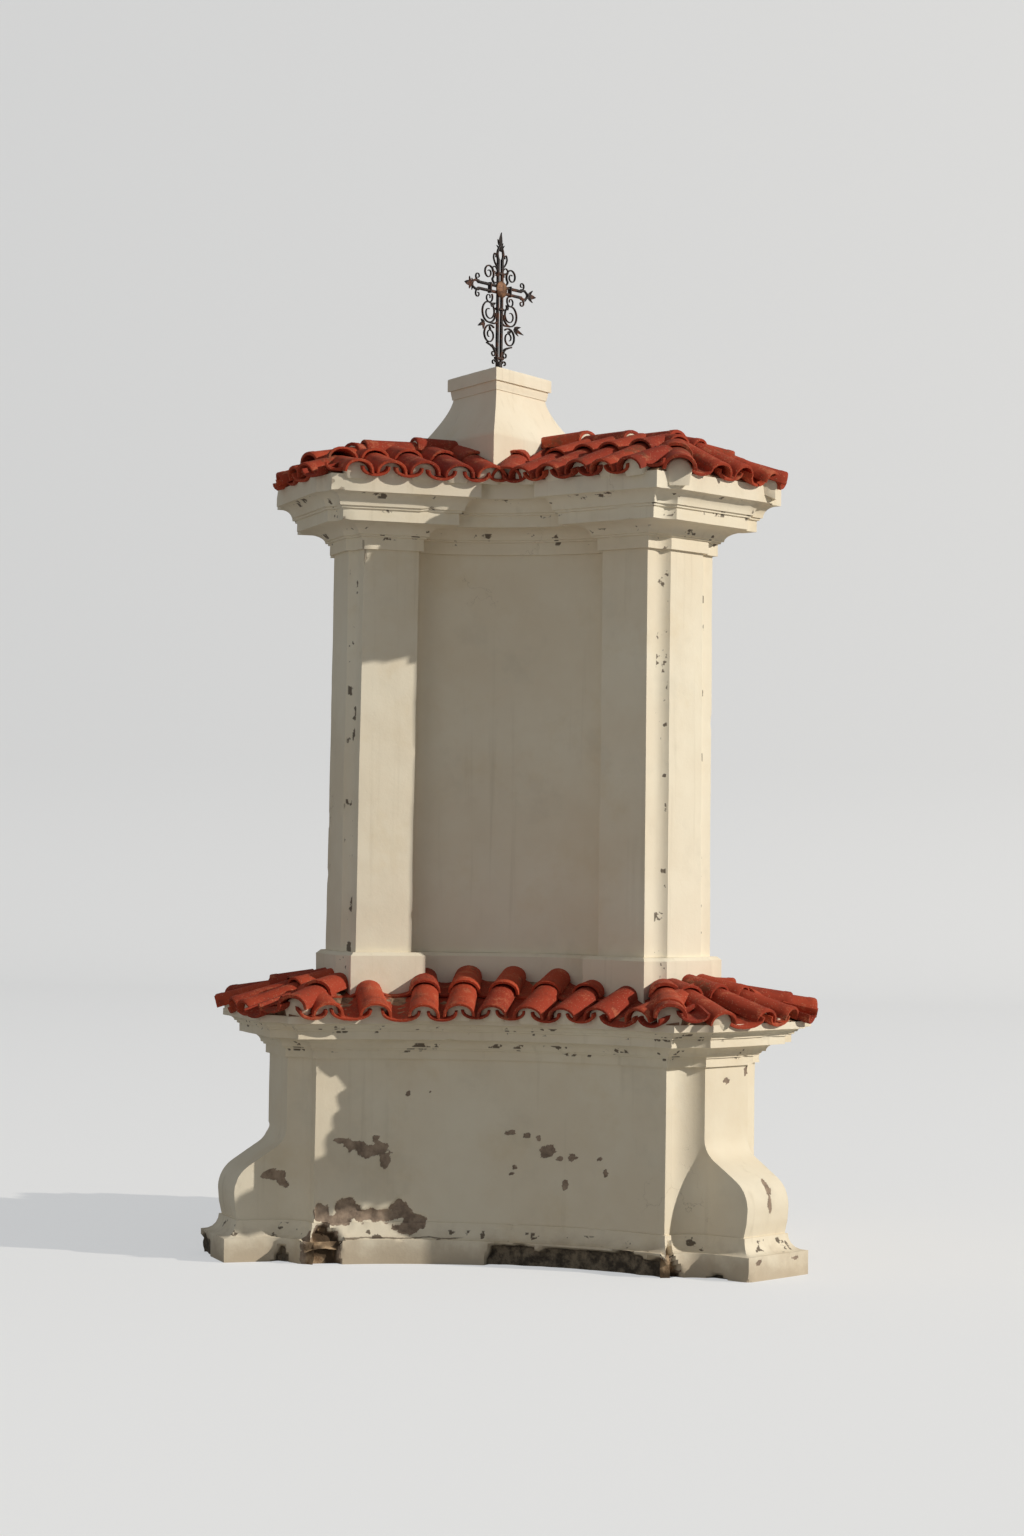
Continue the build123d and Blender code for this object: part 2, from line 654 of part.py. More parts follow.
def build_shaft():
    def between(face_at):
        return ruled([face_at(SHAFT_Z, SHAFT_SPREAD), face_at(UPPER_NECK_Z, 1.0)])

    write("shaft_core", between(lambda z, spread: core_face(SHAFT, 0, z, spread)))
    pier_path = SHAFT.path(0)[:3] + [(SHAFT_FRONT, SHAFT_WALL), (SHAFT_INNER, SHAFT_WALL)]
    face_v = SHAFT_WALL + SHAFT_PILASTER
    corners = [(SHAFT_INNER, SHAFT_WALL), (SHAFT_FRONT, SHAFT_WALL), (SHAFT_FRONT, face_v), (SHAFT_INNER, face_v)]
    for name, angle in ARMS.items():
        write(name + "_corner_pier", between(lambda z, spread: arm_face(angle, pier_path, z, spread)))
        for side, way in (("a", 1), ("b", -1)):

            def pilaster_face(z, spread):
                return polygon_face([at(angle, u, way * v, z, spread) for u, v in corners])

            write(name + "_pilaster_" + side, between(pilaster_face))


def build_top():
    body = cornice(
        SHAFT, UPPER_NECK_Z, UPPER_BAND_HEIGHT, UPPER_BAND, UPPER_HOLLOW_HEIGHT, UPPER_CORONA_HEIGHT,
        UPPER_CORONA, UPPER_GULLET_HEIGHT, UPPER_FASCIA_HEIGHT, UPPER_FASCIA,
    )
    bed = roof(UPPER_EAVES, UPPER_TOP_Z)
    cap = cap_pieces(bed)
    for name, piece in cap.items():
        write(name, piece)
    for name, angle in ARMS.items():
        write(name + "_upper_cornice", body & sector(angle, UPPER_NECK_Z, UPPER_TOP_Z))
        space = sector(angle, UPPER_TOP_Z, CAP_TOP_Z)
        write(name + "_upper_roof", (bed & space) + ((upper_hips(angle) & space) - cap["cap_block"]))


def build_cross():
    foot_block = Pos(0, CROSS_FOOT_HEIGHT / 2) * Rectangle(CROSS_FOOT_SIZE, CROSS_FOOT_HEIGHT)
    write("cross_foot", ironwork(foot_block, CROSS_FOOT_SIZE))
    write("cross_stem", cross_stem())
    disc = CROSS_PLANE.offset(CROSS_BAR / 2) * (Pos(0, CROSS_ARM_HEIGHT) * Circle(CROSS_DISC_RADIUS))
    write("cross_disc", extrude(disc, amount=CROSS_DISC_DEPTH))
    write("cross_tip_top", cross_tip(0, STEM_TOP, 0))
    for name, side in (("left", -1), ("right", 1)):
        write("cross_arm_" + name, cross_arm(side))
        write("cross_tip_" + name, cross_tip(side * CROSS_ARM_REACH, CROSS_ARM_HEIGHT, -90 * side))
        write("cross_scroll_lower_" + name, lower_scroll(side))
        write("cross_scroll_upper_" + name, upper_scroll(side))


os.makedirs("parts", exist_ok=True)
build_base()
build_shaft_plinth()
build_shaft()
build_top()
build_cross()
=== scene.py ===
"""Looks of the wayside shrine: weathered lime render, half-round clay tiles and a wrought-iron cross."""

from math import atan2, cos, hypot, pi, radians, sin, sqrt
from random import Random

import bpy
import numpy as np
from mathutils import Matrix, Vector, noise


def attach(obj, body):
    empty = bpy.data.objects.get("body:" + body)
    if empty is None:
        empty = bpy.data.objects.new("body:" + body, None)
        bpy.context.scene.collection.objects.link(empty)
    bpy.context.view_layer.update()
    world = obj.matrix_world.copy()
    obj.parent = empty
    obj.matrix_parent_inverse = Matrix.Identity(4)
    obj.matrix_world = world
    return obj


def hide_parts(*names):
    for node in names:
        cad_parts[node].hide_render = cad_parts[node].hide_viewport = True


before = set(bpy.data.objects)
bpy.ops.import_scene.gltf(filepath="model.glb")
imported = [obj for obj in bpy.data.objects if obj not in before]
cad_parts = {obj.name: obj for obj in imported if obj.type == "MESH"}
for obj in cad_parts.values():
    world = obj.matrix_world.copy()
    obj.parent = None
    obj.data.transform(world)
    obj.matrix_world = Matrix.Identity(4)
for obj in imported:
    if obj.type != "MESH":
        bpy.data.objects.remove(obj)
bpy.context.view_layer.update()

# Plan and levels of the shrine, in metres and degrees
ARMS = {"right": -30, "back": 90, "left": 210}
BAYS = {"front": -90, "right_rear": 30, "left_rear": 150}
ROOT3 = sqrt(3)
UPRIGHT = Vector((0, 0, 1))

PLINTH_BLOCK = 0.098
PLINTH_TOP = 0.165
PLINTH_OUT = 0.062
PLINTH_LIP = 0.008
BASE_TOP = 0.837
LOWER_TOP = 1.017
SHAFT_FOOT = 1.272
SHAFT_TOP = 2.950
UPPER_TOP = 3.236
CAP_TOP = 3.752
EAVE_THICKNESS = 0.034
FILLET = 0.009
SOFFIT = 0.022


def arm_point(angle, u, v, z=0.0):
    """Point u along and v across an arm."""
    turn = radians(angle)
    return Vector((u * cos(turn) - v * sin(turn), u * sin(turn) + v * cos(turn), z))


def in_arm(angle, x, y):
    """The same the other way: u and v of a point."""
    turn = radians(angle)
    return x * cos(turn) + y * sin(turn), y * cos(turn) - x * sin(turn)


def on_arc(hub, radius, turn):
    return hub[0] + radius * cos(turn), hub[1] + radius * sin(turn)


def lifted(points, z):
    return [point + Vector((0, 0, z)) for point in points]


# Shared finish helpers

def linear(red, green, blue):
    """Colour as it is seen, 0 to 255, as the linear value that the nodes take."""
    tones = []
    for tone in (red, green, blue):
        tone /= 255
        tones.append(tone / 12.92 if tone <= 0.04045 else ((tone + 0.055) / 1.055) ** 2.4)
    return (*tones, 1.0)


def put(tree, kind, sockets=None, out=0, **settings):
    """Adds a node, sets or links its sockets, and gives back one of its outputs."""
    node = tree.nodes.new("ShaderNode" + kind)
    for key, value in settings.items():
        setattr(node, key, value)
    for key, value in (sockets or {}).items():
        if isinstance(value, bpy.types.NodeSocket):
            tree.links.new(value, node.inputs[key])
        else:
            node.inputs[key].default_value = value
    return node.outputs[out]


def calc(tree, operation, first, second=0.0):
    return put(tree, "Math", {0: first, 1: second}, operation=operation)


def plus(tree, first, second):
    return calc(tree, "ADD", first, second)


def minus(tree, first, second):
    return calc(tree, "SUBTRACT", first, second)


def times(tree, first, second):
    return calc(tree, "MULTIPLY", first, second)


def window(tree, value, low, high, to_low=0.0, to_high=1.0):
    """Smooth step of a value between two limits."""
    sockets = {"Value": value, "From Min": low, "From Max": high, "To Min": to_low, "To Max": to_high}
    return put(tree, "MapRange", sockets, interpolation_type="SMOOTHSTEP")


def below(tree, value, low, high):
    """Smooth step the other way: one up to the lower limit, nothing past the upper one."""
    return minus(tree, 1.0, window(tree, value, low, high))


def noise_at(tree, place, scale, detail, rough=0.5, out=0):
    sockets = {"Vector": place, "Scale": scale, "Detail": detail, "Roughness": rough}
    return put(tree, "TexNoise", sockets, out)


def mixed(tree, mask, first, second):
    """Colour that goes from the first to the second with the mask."""
    return put(tree, "Mix", {0: mask, 6: first, 7: second}, 2, data_type="RGBA")


def tinted(tree, color, mask, share, tone):
    """Colour with a share of another tone where the mask is."""
    return mixed(tree, times(tree, mask, share), color, linear(*tone))


def new_group(name, inputs, output):
    """Shader node group with its sockets; gives back the group, its inputs and its output socket."""
    group = bpy.data.node_groups.new(name, "ShaderNodeTree")
    for socket, value in inputs.items():
        kind = "NodeSocketVector" if isinstance(value, tuple) else "NodeSocketFloat"
        group.interface.new_socket(socket, in_out="INPUT", socket_type=kind).default_value = value
    group.interface.new_socket(output, in_out="OUTPUT", socket_type="NodeSocketFloat")
    given = group.nodes.new("NodeGroupInput").outputs
    return group, given, group.nodes.new("NodeGroupOutput").inputs[output]


def build_patches():
    """Cloudy patches: a mask of irregular areas with torn edges."""
    group, given, result = new_group(
        "patches", {"Place": (0.0, 0.0, 0.0), "Size": 3.0, "Start": 0.5, "Full": 0.6, "Tear": 0.15}, "Mask")
    broad = noise_at(group, given["Place"], given["Size"], 4.0, 0.55)
    fine = noise_at(group, given["Place"], times(group, given["Size"], 9.0), 3.0, 0.6)
    torn = times(group, minus(group, fine, 0.5), given["Tear"])
    group.links.new(window(group, plus(group, broad, torn), given["Start"], given["Full"]), result)
    return group


def build_cracks():
    """Thin wandering cracks, only where a broad noise lets them be."""
    group, given, result = new_group(
        "cracks", {"Place": (0.0, 0.0, 0.0), "Size": 2.0, "Width": 0.004, "Share": 0.5}, "Mask")
    sway = noise_at(group, given["Place"], 5.0, 5.0, 0.6, "Color")
    sway = put(group, "VectorMath", {0: sway, 1: (0.5, 0.5, 0.5)}, operation="SUBTRACT")
    sway = put(group, "VectorMath", {0: sway, "Scale": 0.30}, operation="SCALE")
    spot = put(group, "VectorMath", {0: given["Place"], 1: sway}, operation="ADD")
    lines = put(group, "TexVoronoi", {"Vector": spot, "Scale": given["Size"]}, feature="DISTANCE_TO_EDGE")
    limit = minus(group, 1.0, given["Share"])
    allowed = window(group, noise_at(group, given["Place"], 1.7, 1.0), limit, plus(group, limit, 0.06))
    group.links.new(times(group, below(group, lines, 0.0, given["Width"]), allowed), result)
    return group


def build_grain():
    """Fine grain and pits as a height."""
    group, given, result = new_group(
        "grain", {"Place": (0.0, 0.0, 0.0), "Size": 120.0, "Pits": 0.5}, "Height")
    fine = noise_at(group, given["Place"], given["Size"], 5.0, 0.65)
    cells = put(group, "TexVoronoi", {"Vector": given["Place"], "Scale": times(group, given["Size"], 0.35)})
    pit = times(group, below(group, cells, 0.05, 0.22), given["Pits"])
    group.links.new(minus(group, fine, pit), result)
    return group


PATCHES = build_patches()
CRACKS = build_cracks()
GRAIN = build_grain()


def patchy(tree, place, size, start, full, tear):
    sockets = {"Place": place, "Size": size, "Start": start, "Full": full, "Tear": tear}
    return put(tree, "Group", sockets, node_tree=PATCHES)


def grainy(tree, place, size, pits):
    return put(tree, "Group", {"Place": place, "Size": size, "Pits": pits}, node_tree=GRAIN)


def new_material(name):
    """Material with its Principled shader and the place on the object that its nodes read."""
    material = bpy.data.materials.new(name)
    material.use_nodes = True
    tree = material.node_tree
    return material, tree, tree.nodes["Principled BSDF"], put(tree, "TexCoord", out="Object")


def feed(tree, shader, color, rough, height, bump_distance, bump_strength=0.6):
    """Links colour, roughness and a bump height to a material's shader."""
    tree.links.new(color, shader.inputs["Base Color"])
    if isinstance(rough, bpy.types.NodeSocket):
        tree.links.new(rough, shader.inputs["Roughness"])
    else:
        shader.inputs["Roughness"].default_value = rough
    bump = {"Height": height, "Distance": bump_distance, "Strength": bump_strength}
    tree.links.new(put(tree, "Bump", bump, "Normal"), shader.inputs["Normal"])


def read_mark(tree, name):
    """Value that a mesh carries at its points."""
    return put(tree, "Attribute", out="Fac", attribute_name=name)


def plinth_split(tree, place):
    """Level crack along the part of the front plinth that still stands."""
    across, ahead, height_up = (put(tree, "SeparateXYZ", {0: place}, axis) for axis in "XYZ")
    wander = noise_at(tree, place, 7.0, 5.0, 0.6)
    off = minus(tree, height_up, plus(tree, 0.089, times(tree, wander, 0.030)))
    split = below(tree, calc(tree, "ABSOLUTE", off), 0.0010, 0.0035)
    split = times(tree, split, below(tree, across, -0.17, -0.12))
    split = times(tree, split, window(tree, across, -0.62, -0.60))
    return times(tree, split, below(tree, ahead, -0.50, -0.45))


def make_render_finish():
    """Cream lime wash on old render, with faint clouds, streaks, splash dirt, cracks and bare places."""
    material, tree, shader, place = new_material("lime_render_finish")
    height_up = put(tree, "SeparateXYZ", {0: place}, "Z")
    loss, worn, rubble, seam = (read_mark(tree, name) for name in ("loss", "worn", "rubble", "seam"))

    cloud = patchy(tree, place, 1.9, 0.30, 0.75, 0.12)
    color = mixed(tree, cloud, linear(235, 226, 204), linear(227, 214, 189))
    color = tinted(tree, color, patchy(tree, place, 3.3, 0.52, 0.74, 0.25), 0.30, (218, 200, 164))
    color = tinted(tree, color, patchy(tree, place, 2.6, 0.55, 0.75, 0.25), 0.22, (196, 188, 168))

    # Upright streaks, and dirt splashed up from the ground
    stretched = put(tree, "VectorMath", {0: place, 1: (22.0, 22.0, 0.9)}, operation="MULTIPLY")
    streak = window(tree, noise_at(tree, stretched, 1.0, 4.0, 0.55), 0.56, 0.78)
    color = tinted(tree, color, streak, 0.20, (176, 162, 134))
    uneven = times(tree, minus(tree, noise_at(tree, place, 7.0, 6.0, 0.62), 0.5), 0.30)
    splash = below(tree, plus(tree, height_up, uneven), 0.0, 0.16)
    color = tinted(tree, color, splash, 0.50, (158, 134, 106))

    thin = {"Place": place, "Size": 1.6, "Width": 0.0026, "Share": 0.36}
    crack = put(tree, "Group", thin, node_tree=CRACKS)
    color = tinted(tree, color, crack, 0.38, (120, 102, 84))
    split = plinth_split(tree, place)
    color = tinted(tree, color, split, 0.75, (96, 80, 64))

    # Worn arrises, and dark dots and dashes along the inner creases of the mouldings, which are painted
    # crease shade broken up by noise
    torn = times(tree, minus(tree, patchy(tree, place, 17.0, 0.0, 1.0, 0.6), 0.5), 0.55)
    flaked = window(tree, plus(tree, worn, torn), 0.60, 0.74)
    color = tinted(tree, color, flaked, 0.55, (126, 106, 88))
    # Painted shade: the inner creases are darkened in dots and dashes where a noise lets them be
    crease_shade_dots = window(tree, noise_at(tree, place, 15.0, 3.0, 0.6), 0.60, 0.64)
    color = tinted(tree, color, times(tree, window(tree, seam, 0.35, 0.7), crease_shade_dots), 0.85, (74, 60, 48))

    # Bare places
    bare = window(tree, plus(tree, loss, times(tree, torn, 1.7)), 0.46, 0.53)
    stone = noise_at(tree, place, 20.0, 6.0, 0.7)
    under = mixed(tree, window(tree, stone, 0.30, 0.70), linear(124, 108, 94), linear(174, 154, 134))
    color = mixed(tree, bare, color, under)

    # Broken masonry where whole lumps are gone from the foot: dark, partly as painted shade of the deep
    # recess, or buff where loss is marked too
    cells = {"Vector": place, "Scale": 13.0, "Smoothness": 0.6}
    lumps = put(tree, "TexVoronoi", cells, feature="SMOOTH_F1")
    # Painted shade: the core's dark tones stand in for the shade inside the deep recess, on top of the
    # stone's own brown
    core = mixed(tree, window(tree, stone, 0.38, 0.66), linear(76, 68, 58), linear(146, 132, 112))
    buff = mixed(tree, window(tree, stone, 0.34, 0.62), linear(132, 106, 80), linear(186, 160, 128))
    buff = mixed(tree, window(tree, lumps, 0.36, 0.60), buff, linear(84, 68, 52))
    broken = window(tree, rubble, 0.25, 0.75)
    color = mixed(tree, broken, color, mixed(tree, window(tree, loss, 0.3, 0.7), core, buff))

    height = times(tree, grainy(tree, place, 95.0, 0.25), 0.16)
    height = plus(tree, height, times(tree, noise_at(tree, place, 9.0, 4.0), 0.8))
    height = minus(tree, height, times(tree, plus(tree, crack, split), 0.4))
    height = minus(tree, height, times(tree, flaked, 0.4))
    height = plus(tree, height, times(tree, minus(tree, stone, 0.9), bare))
    stones = times(tree, minus(tree, stone, lumps), 2.4)
    height = plus(tree, height, times(tree, stones, broken))
    feed(tree, shader, color, plus(tree, 0.84, times(tree, bare, 0.1)), height, 0.005)
    shader.inputs["Specular IOR Level"].default_value = 0.25
    return material


def make_clay_finish():
    """Fired clay, each tile a little different, with soot, lichen and lime on it."""
    material, tree, shader, place = new_material("clay_tile_finish")
    color = mixed(tree, read_mark(tree, "kiln"), linear(183, 73, 43), linear(145, 49, 29))
    color = tinted(tree, color, patchy(tree, place, 9.0, 0.52, 0.72, 0.3), 0.55, (112, 48, 34))
    color = tinted(tree, color, patchy(tree, place, 15.0, 0.56, 0.70, 0.5), 0.38, (212, 134, 96))
    color = tinted(tree, color, patchy(tree, place, 5.0, 0.60, 0.72, 0.5), 0.5, (92, 74, 50))
    specks = below(tree, put(tree, "TexVoronoi", {"Vector": place, "Scale": 85.0}), 0.12, 0.24)
    color = tinted(tree, color, specks, 0.35, (206, 168, 134))
    feed(tree, shader, color, 0.82, grainy(tree, place, 160.0, 0.6), 0.003)
    shader.inputs["Specular IOR Level"].default_value = 0.3
    return material


def make_mortar_finish():
    """Grey-brown bedding mortar under and between the tiles."""
    material, tree, shader, place = new_material("bedding_mortar_finish")
    lumps = noise_at(tree, place, 26.0, 6.0, 0.65)
    color = mixed(tree, window(tree, lumps, 0.35, 0.65), linear(122, 92, 70), linear(176, 148, 118))
    color = tinted(tree, color, patchy(tree, place, 6.0, 0.5, 0.68, 0.4), 0.4, (104, 88, 70))
    height = plus(tree, times(tree, lumps, 1.4), times(tree, grainy(tree, place, 110.0, 0.6), 0.4))
    feed(tree, shader, color, 0.93, height, 0.008, 0.8)
    return material


def make_iron_finish():
    """Dark paint on wrought iron with rust coming through."""
    material, tree, shader, place = new_material("wrought_iron_finish")
    rust = patchy(tree, place, 24.0, 0.50, 0.64, 0.5)
    tone = noise_at(tree, place, 70.0, 5.0, 0.7)
    paint = mixed(tree, tone, linear(30, 27, 27), linear(62, 56, 54))
    rusty = mixed(tree, tone, linear(74, 46, 34), linear(128, 80, 54))
    color = mixed(tree, times(tree, rust, 0.75), paint, rusty)
    tree.links.new(window(tree, rust, 0.0, 1.0, 0.55, 0.1), shader.inputs["Metallic"])
    rough = window(tree, rust, 0.0, 1.0, 0.5, 0.85)
    feed(tree, shader, color, rough, grainy(tree, place, 240.0, 0.8), 0.0015)
    return material


def make_bronze_finish():
    """Dull brown patina with a few brighter rubs."""
    material, tree, shader, place = new_material("bronze_disc_finish")
    tone = noise_at(tree, place, 60.0, 5.0, 0.6)
    color = mixed(tree, window(tree, tone, 0.35, 0.7), linear(84, 58, 42), linear(150, 108, 76))
    rub = patchy(tree, place, 40.0, 0.55, 0.66, 0.4)
    color = tinted(tree, color, rub, 0.5, (184, 142, 98))
    tree.links.new(window(tree, rub, 0.0, 1.0, 0.45, 0.8), shader.inputs["Metallic"])
    rough = window(tree, rub, 0.0, 1.0, 0.6, 0.4)
    feed(tree, shader, color, rough, grainy(tree, place, 260.0, 0.5), 0.001, 0.5)
    return material


RENDER = make_render_finish()
CLAY = make_clay_finish()
MORTAR = make_mortar_finish()
IRON = make_iron_finish()
BRONZE = make_bronze_finish()


def new_piece(name, verts, faces, material, nodes=(), sharp=50, marks=None):
    """Puts a piece of the shrine in the scene: smooth, with hard edges past an angle."""
    mesh = bpy.data.meshes.new(name)
    mesh.from_pydata([tuple(spot) for spot in verts], [], faces)
    for key, values in (marks or {}).items():
        mesh.attributes.new(key, "FLOAT", "POINT").data.foreach_set("value", values)
    mesh.polygons.foreach_set("use_smooth", [True] * len(mesh.polygons))
    mesh.set_sharp_from_angle(angle=radians(sharp))
    mesh.update()
    piece = bpy.data.objects.new(name, mesh)
    bpy.context.collection.objects.link(piece)
    mesh.materials.append(material)
    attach(piece, "root")
    if nodes:
        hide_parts(*nodes)


def wrapped(start, rings, wide):
    """Faces of a tube: rings of the same number of points, one after the other."""
    faces = []
    for ring in range(rings - 1):
        for k in range(wide):
            a, b = start + ring * wide + k, start + ring * wide + (k + 1) % wide
            faces.append((a, b, b + wide, a + wide))
    return faces


def ends(start, rings, wide):
    """Flat faces over both ends of a tube."""
    last = start + (rings - 1) * wide
    return [tuple(range(start, start + wide))[::-1], tuple(range(last, last + wide))]


# Weathered masonry: every storey is skinned in level rows round the plan

def leg_points(leg, plain, step, first=0):
    """Points along a line or an arc without its last one, or with first=1 without its first one."""
    if len(leg) == 2:
        count = max(2, round(hypot(plain[1][0] - plain[0][0], plain[1][1] - plain[0][1]) / step))
        steps = range(first, count + first)
        return [tuple(leg[0][i] + (leg[1][i] - leg[0][i]) * k / count for i in (0, 1)) for k in steps]
    hub, radius, start, finish = leg
    count = max(4, round(abs(plain[3] - plain[2]) * plain[1] / step))
    return [on_arc(hub, radius, start + (finish - start) * k / count) for k in range(first, count + first)]


def both_sides(angle, half, spread=1.0):
    """Third of a plan round an arm, counterclockwise, from the half that ends at the bay's middle."""
    both = [(u, -v) for u, v in reversed(half)] + half[1:]
    return [arm_point(angle, u * spread, v * spread) for u, v in both]


class Plan:
    """Outline of one storey, sampled in the same columns whatever its projection."""

    def __init__(self, wall, inner, front, neck, half, cove, pilaster=0.0):
        self.wall, self.inner, self.front = wall, inner, front
        self.end, self.half, self.cove, self.pilaster = front + neck, half, cove, pilaster
        self.bow = inner * ROOT3 - wall

    def legs(self, out):
        """Lines and arcs from the middle of the end face to the middle of the next bay."""
        hub = (self.front + self.cove + out, self.half + self.cove + out)
        end = self.end + out
        drop = sqrt(self.cove**2 - (hub[0] - end) ** 2)
        start = atan2(-drop, end - hub[0]) % (2 * pi)
        outer = self.wall + self.pilaster + out
        front = self.front + out
        legs = [((end, 0.0), (end, hub[1] - drop)), (hub, self.cove, start, pi)]
        legs.append(((front, hub[1]), (front, outer)))
        if self.pilaster:
            inner = self.inner - out
            fold = self.wall + self.bow - sqrt((self.bow - out) ** 2 - (self.inner - inner) ** 2)
            legs += [((front, outer), (inner, outer)), ((inner, outer), (inner, fold))]
        else:
            inner, fold = self.inner, outer
            legs.append(((front, outer), (inner, outer)))
        bay_hub = (self.inner, self.wall + self.bow)
        start = atan2(fold - bay_hub[1], inner - bay_hub[0])
        return legs + [(bay_hub, self.bow - out, start, -radians(120))]

    def outline(self, angle, out, step, spread=1.0):
        """Third of the plan; the number of points is the same for every projection."""
        points = []
        for leg, plain in zip(self.legs(out), self.legs(0.0)):
            points += leg_points(leg, plain, step)
        hub, radius, _, finish = self.legs(out)[-1]
        return both_sides(angle, points + [on_arc(hub, radius, finish)], spread)


BASE = Plan(0.298, 0.970, 1.010, 0.079, 0.140, 0.113)
SHAFT = Plan(0.135, 0.576, 0.816, 0.034, 0.102, 0.065, 0.084)

# Places where the lime render has come off, in millimetres: middle in x, y and z, reach in x, y and z, depth
LOSSES = [
    # upper left of the front bay
    (-570, -685, 480, 40, 100, 20, 7), (-530, -665, 455, 55, 100, 26, 8),
    (-472, -640, 465, 35, 100, 30, 8), (-455, -635, 418, 18, 100, 34, 7),
    (-630, -712, 500, 26, 100, 10, 4), (-495, -650, 512, 14, 100, 10, 4),
    # middle of the front bay
    (54, -560, 539, 26, 100, 14, 5), (120, -564, 530, 14, 100, 8, 4),
    (215, -574, 470, 32, 100, 24, 8), (262, -582, 440, 22, 100, 14, 6),
    (318, -594, 448, 26, 100, 16, 5), (288, -588, 335, 13, 100, 22, 5),
    (440, -628, 450, 11, 100, 10, 4), (462, -634, 392, 8, 100, 14, 4),
    # long strip over the plinth, left of the middle
    (-690, -745, 212, 42, 120, 34, 12), (-604, -700, 224, 52, 120, 40, 14),
    (-540, -668, 196, 70, 120, 28, 14), (-470, -640, 190, 70, 120, 28, 13),
    (-399, -617, 206, 42, 120, 38, 14), (-343, -602, 166, 50, 120, 30, 12),
    (-640, -720, 180, 70, 120, 22, 12), (-372, -610, 138, 46, 120, 20, 10),
    # left and right buttresses and their feet
    (-905, -690, 350, 44, 100, 22, 4), (-880, -690, 312, 22, 100, 26, 4),
    (947, -538, 775, 20, 40, 12, 4), (1011, -426, 815, 16, 30, 18, 5),
    (1108, -610, 385, 14, 20, 20, 4), (1122, -620, 345, 16, 20, 40, 4),
    (1134, -640, 285, 12, 16, 40, 4), (1215, -560, 75, 30, 50, 14, 3),
    (1110, -800, 75, 14, 50, 12, 3),
    # specks high on the front wall
    (-372, -612, 690, 8, 100, 15, 3), (-382, -612, 652, 7, 100, 7, 3),
    (-283, -590, 700, 6, 100, 7, 2), (170, -570, 525, 7, 100, 18, 3),
    # small holes low in the front wall
    (70, -561, 400, 9, 100, 14, 7), (60, -561, 372, 6, 100, 5, 5),
    # upright splits at the edges of the coves
    (-775, -800, 300, 10, 50, 55, 14), (-775, -800, 480, 8, 50, 30, 10),
]
# In shares of its reach: where a bare place ends, over how much it fades, and from where it is passed over
LOSS_RIM, LOSS_FADE, LOSS_FARTHEST = 1.22, 0.5, 1.8

# Places where masonry is missing from the foot of the front: x from and to, height, depth,
# how pointed its top is and how buff its inside
GAPS = [(-0.035, 0.700, 0.088, 0.044, 0.0, 0.0), (-0.770, -0.605, 0.158, 0.046, 0.35, 1.0),
        (0.690, 0.805, 0.140, 0.046, 1.0, 0.7), (-1.320, -1.190, 0.096, 0.022, 0.5, 0.3),
        (-0.895, -0.830, 0.075, 0.024, 1.0, 0.0), (0.900, 0.985, 0.036, 0.026, 1.0, 0.0)]
GAPS_FRONT = -0.45
GAPS_HEIGHT = 0.2


def rough_at(spot, *waves):
    """Sum of noises at a point, each given as its share and its scale."""
    return sum(share * noise.noise(Vector(spot) * scale) for share, scale in waves)


def loss_at(spot):
    """How far a point lies in a bare place, and how deep that is."""
    most, depth = 0.0, 0.0
    for place in LOSSES:
        apart = sqrt(sum(((1000 * spot[i] - place[i]) / place[i + 3]) ** 2 for i in range(3)))
        if apart > LOSS_FARTHEST:
            continue
        apart += rough_at(spot, (0.50, 19.0), (0.40, 48.0))
        share = min(1.0, max(0.0, (LOSS_RIM - apart) / LOSS_FADE))
        if share > most:
            most, depth = share, place[6] / 1000
    return most, depth


def gap_at(spot):
    """How far a point lies in a place where masonry is missing, how deep that is, and how buff."""
    if spot[1] > GAPS_FRONT or spot[2] > GAPS_HEIGHT:
        return 0.0, 0.0, 0.0
    ragged = rough_at(spot, (0.018, 13.0), (0.006, 34.0))
    for x_from, x_to, height, deep, peak, buff in GAPS:
        aside = abs(2 * spot[0] - x_from - x_to) / (x_to - x_from)
        inside = min(spot[0] - x_from, x_to - spot[0], height * (1 - peak * aside) - spot[2]) + ragged
        if inside > 0:
            return min(1.0, inside / 0.010), deep, buff
    return 0.0, 0.0, 0.0


def unit(field):
    return field / np.maximum(np.linalg.norm(field, axis=2, keepdims=True), 1e-9)


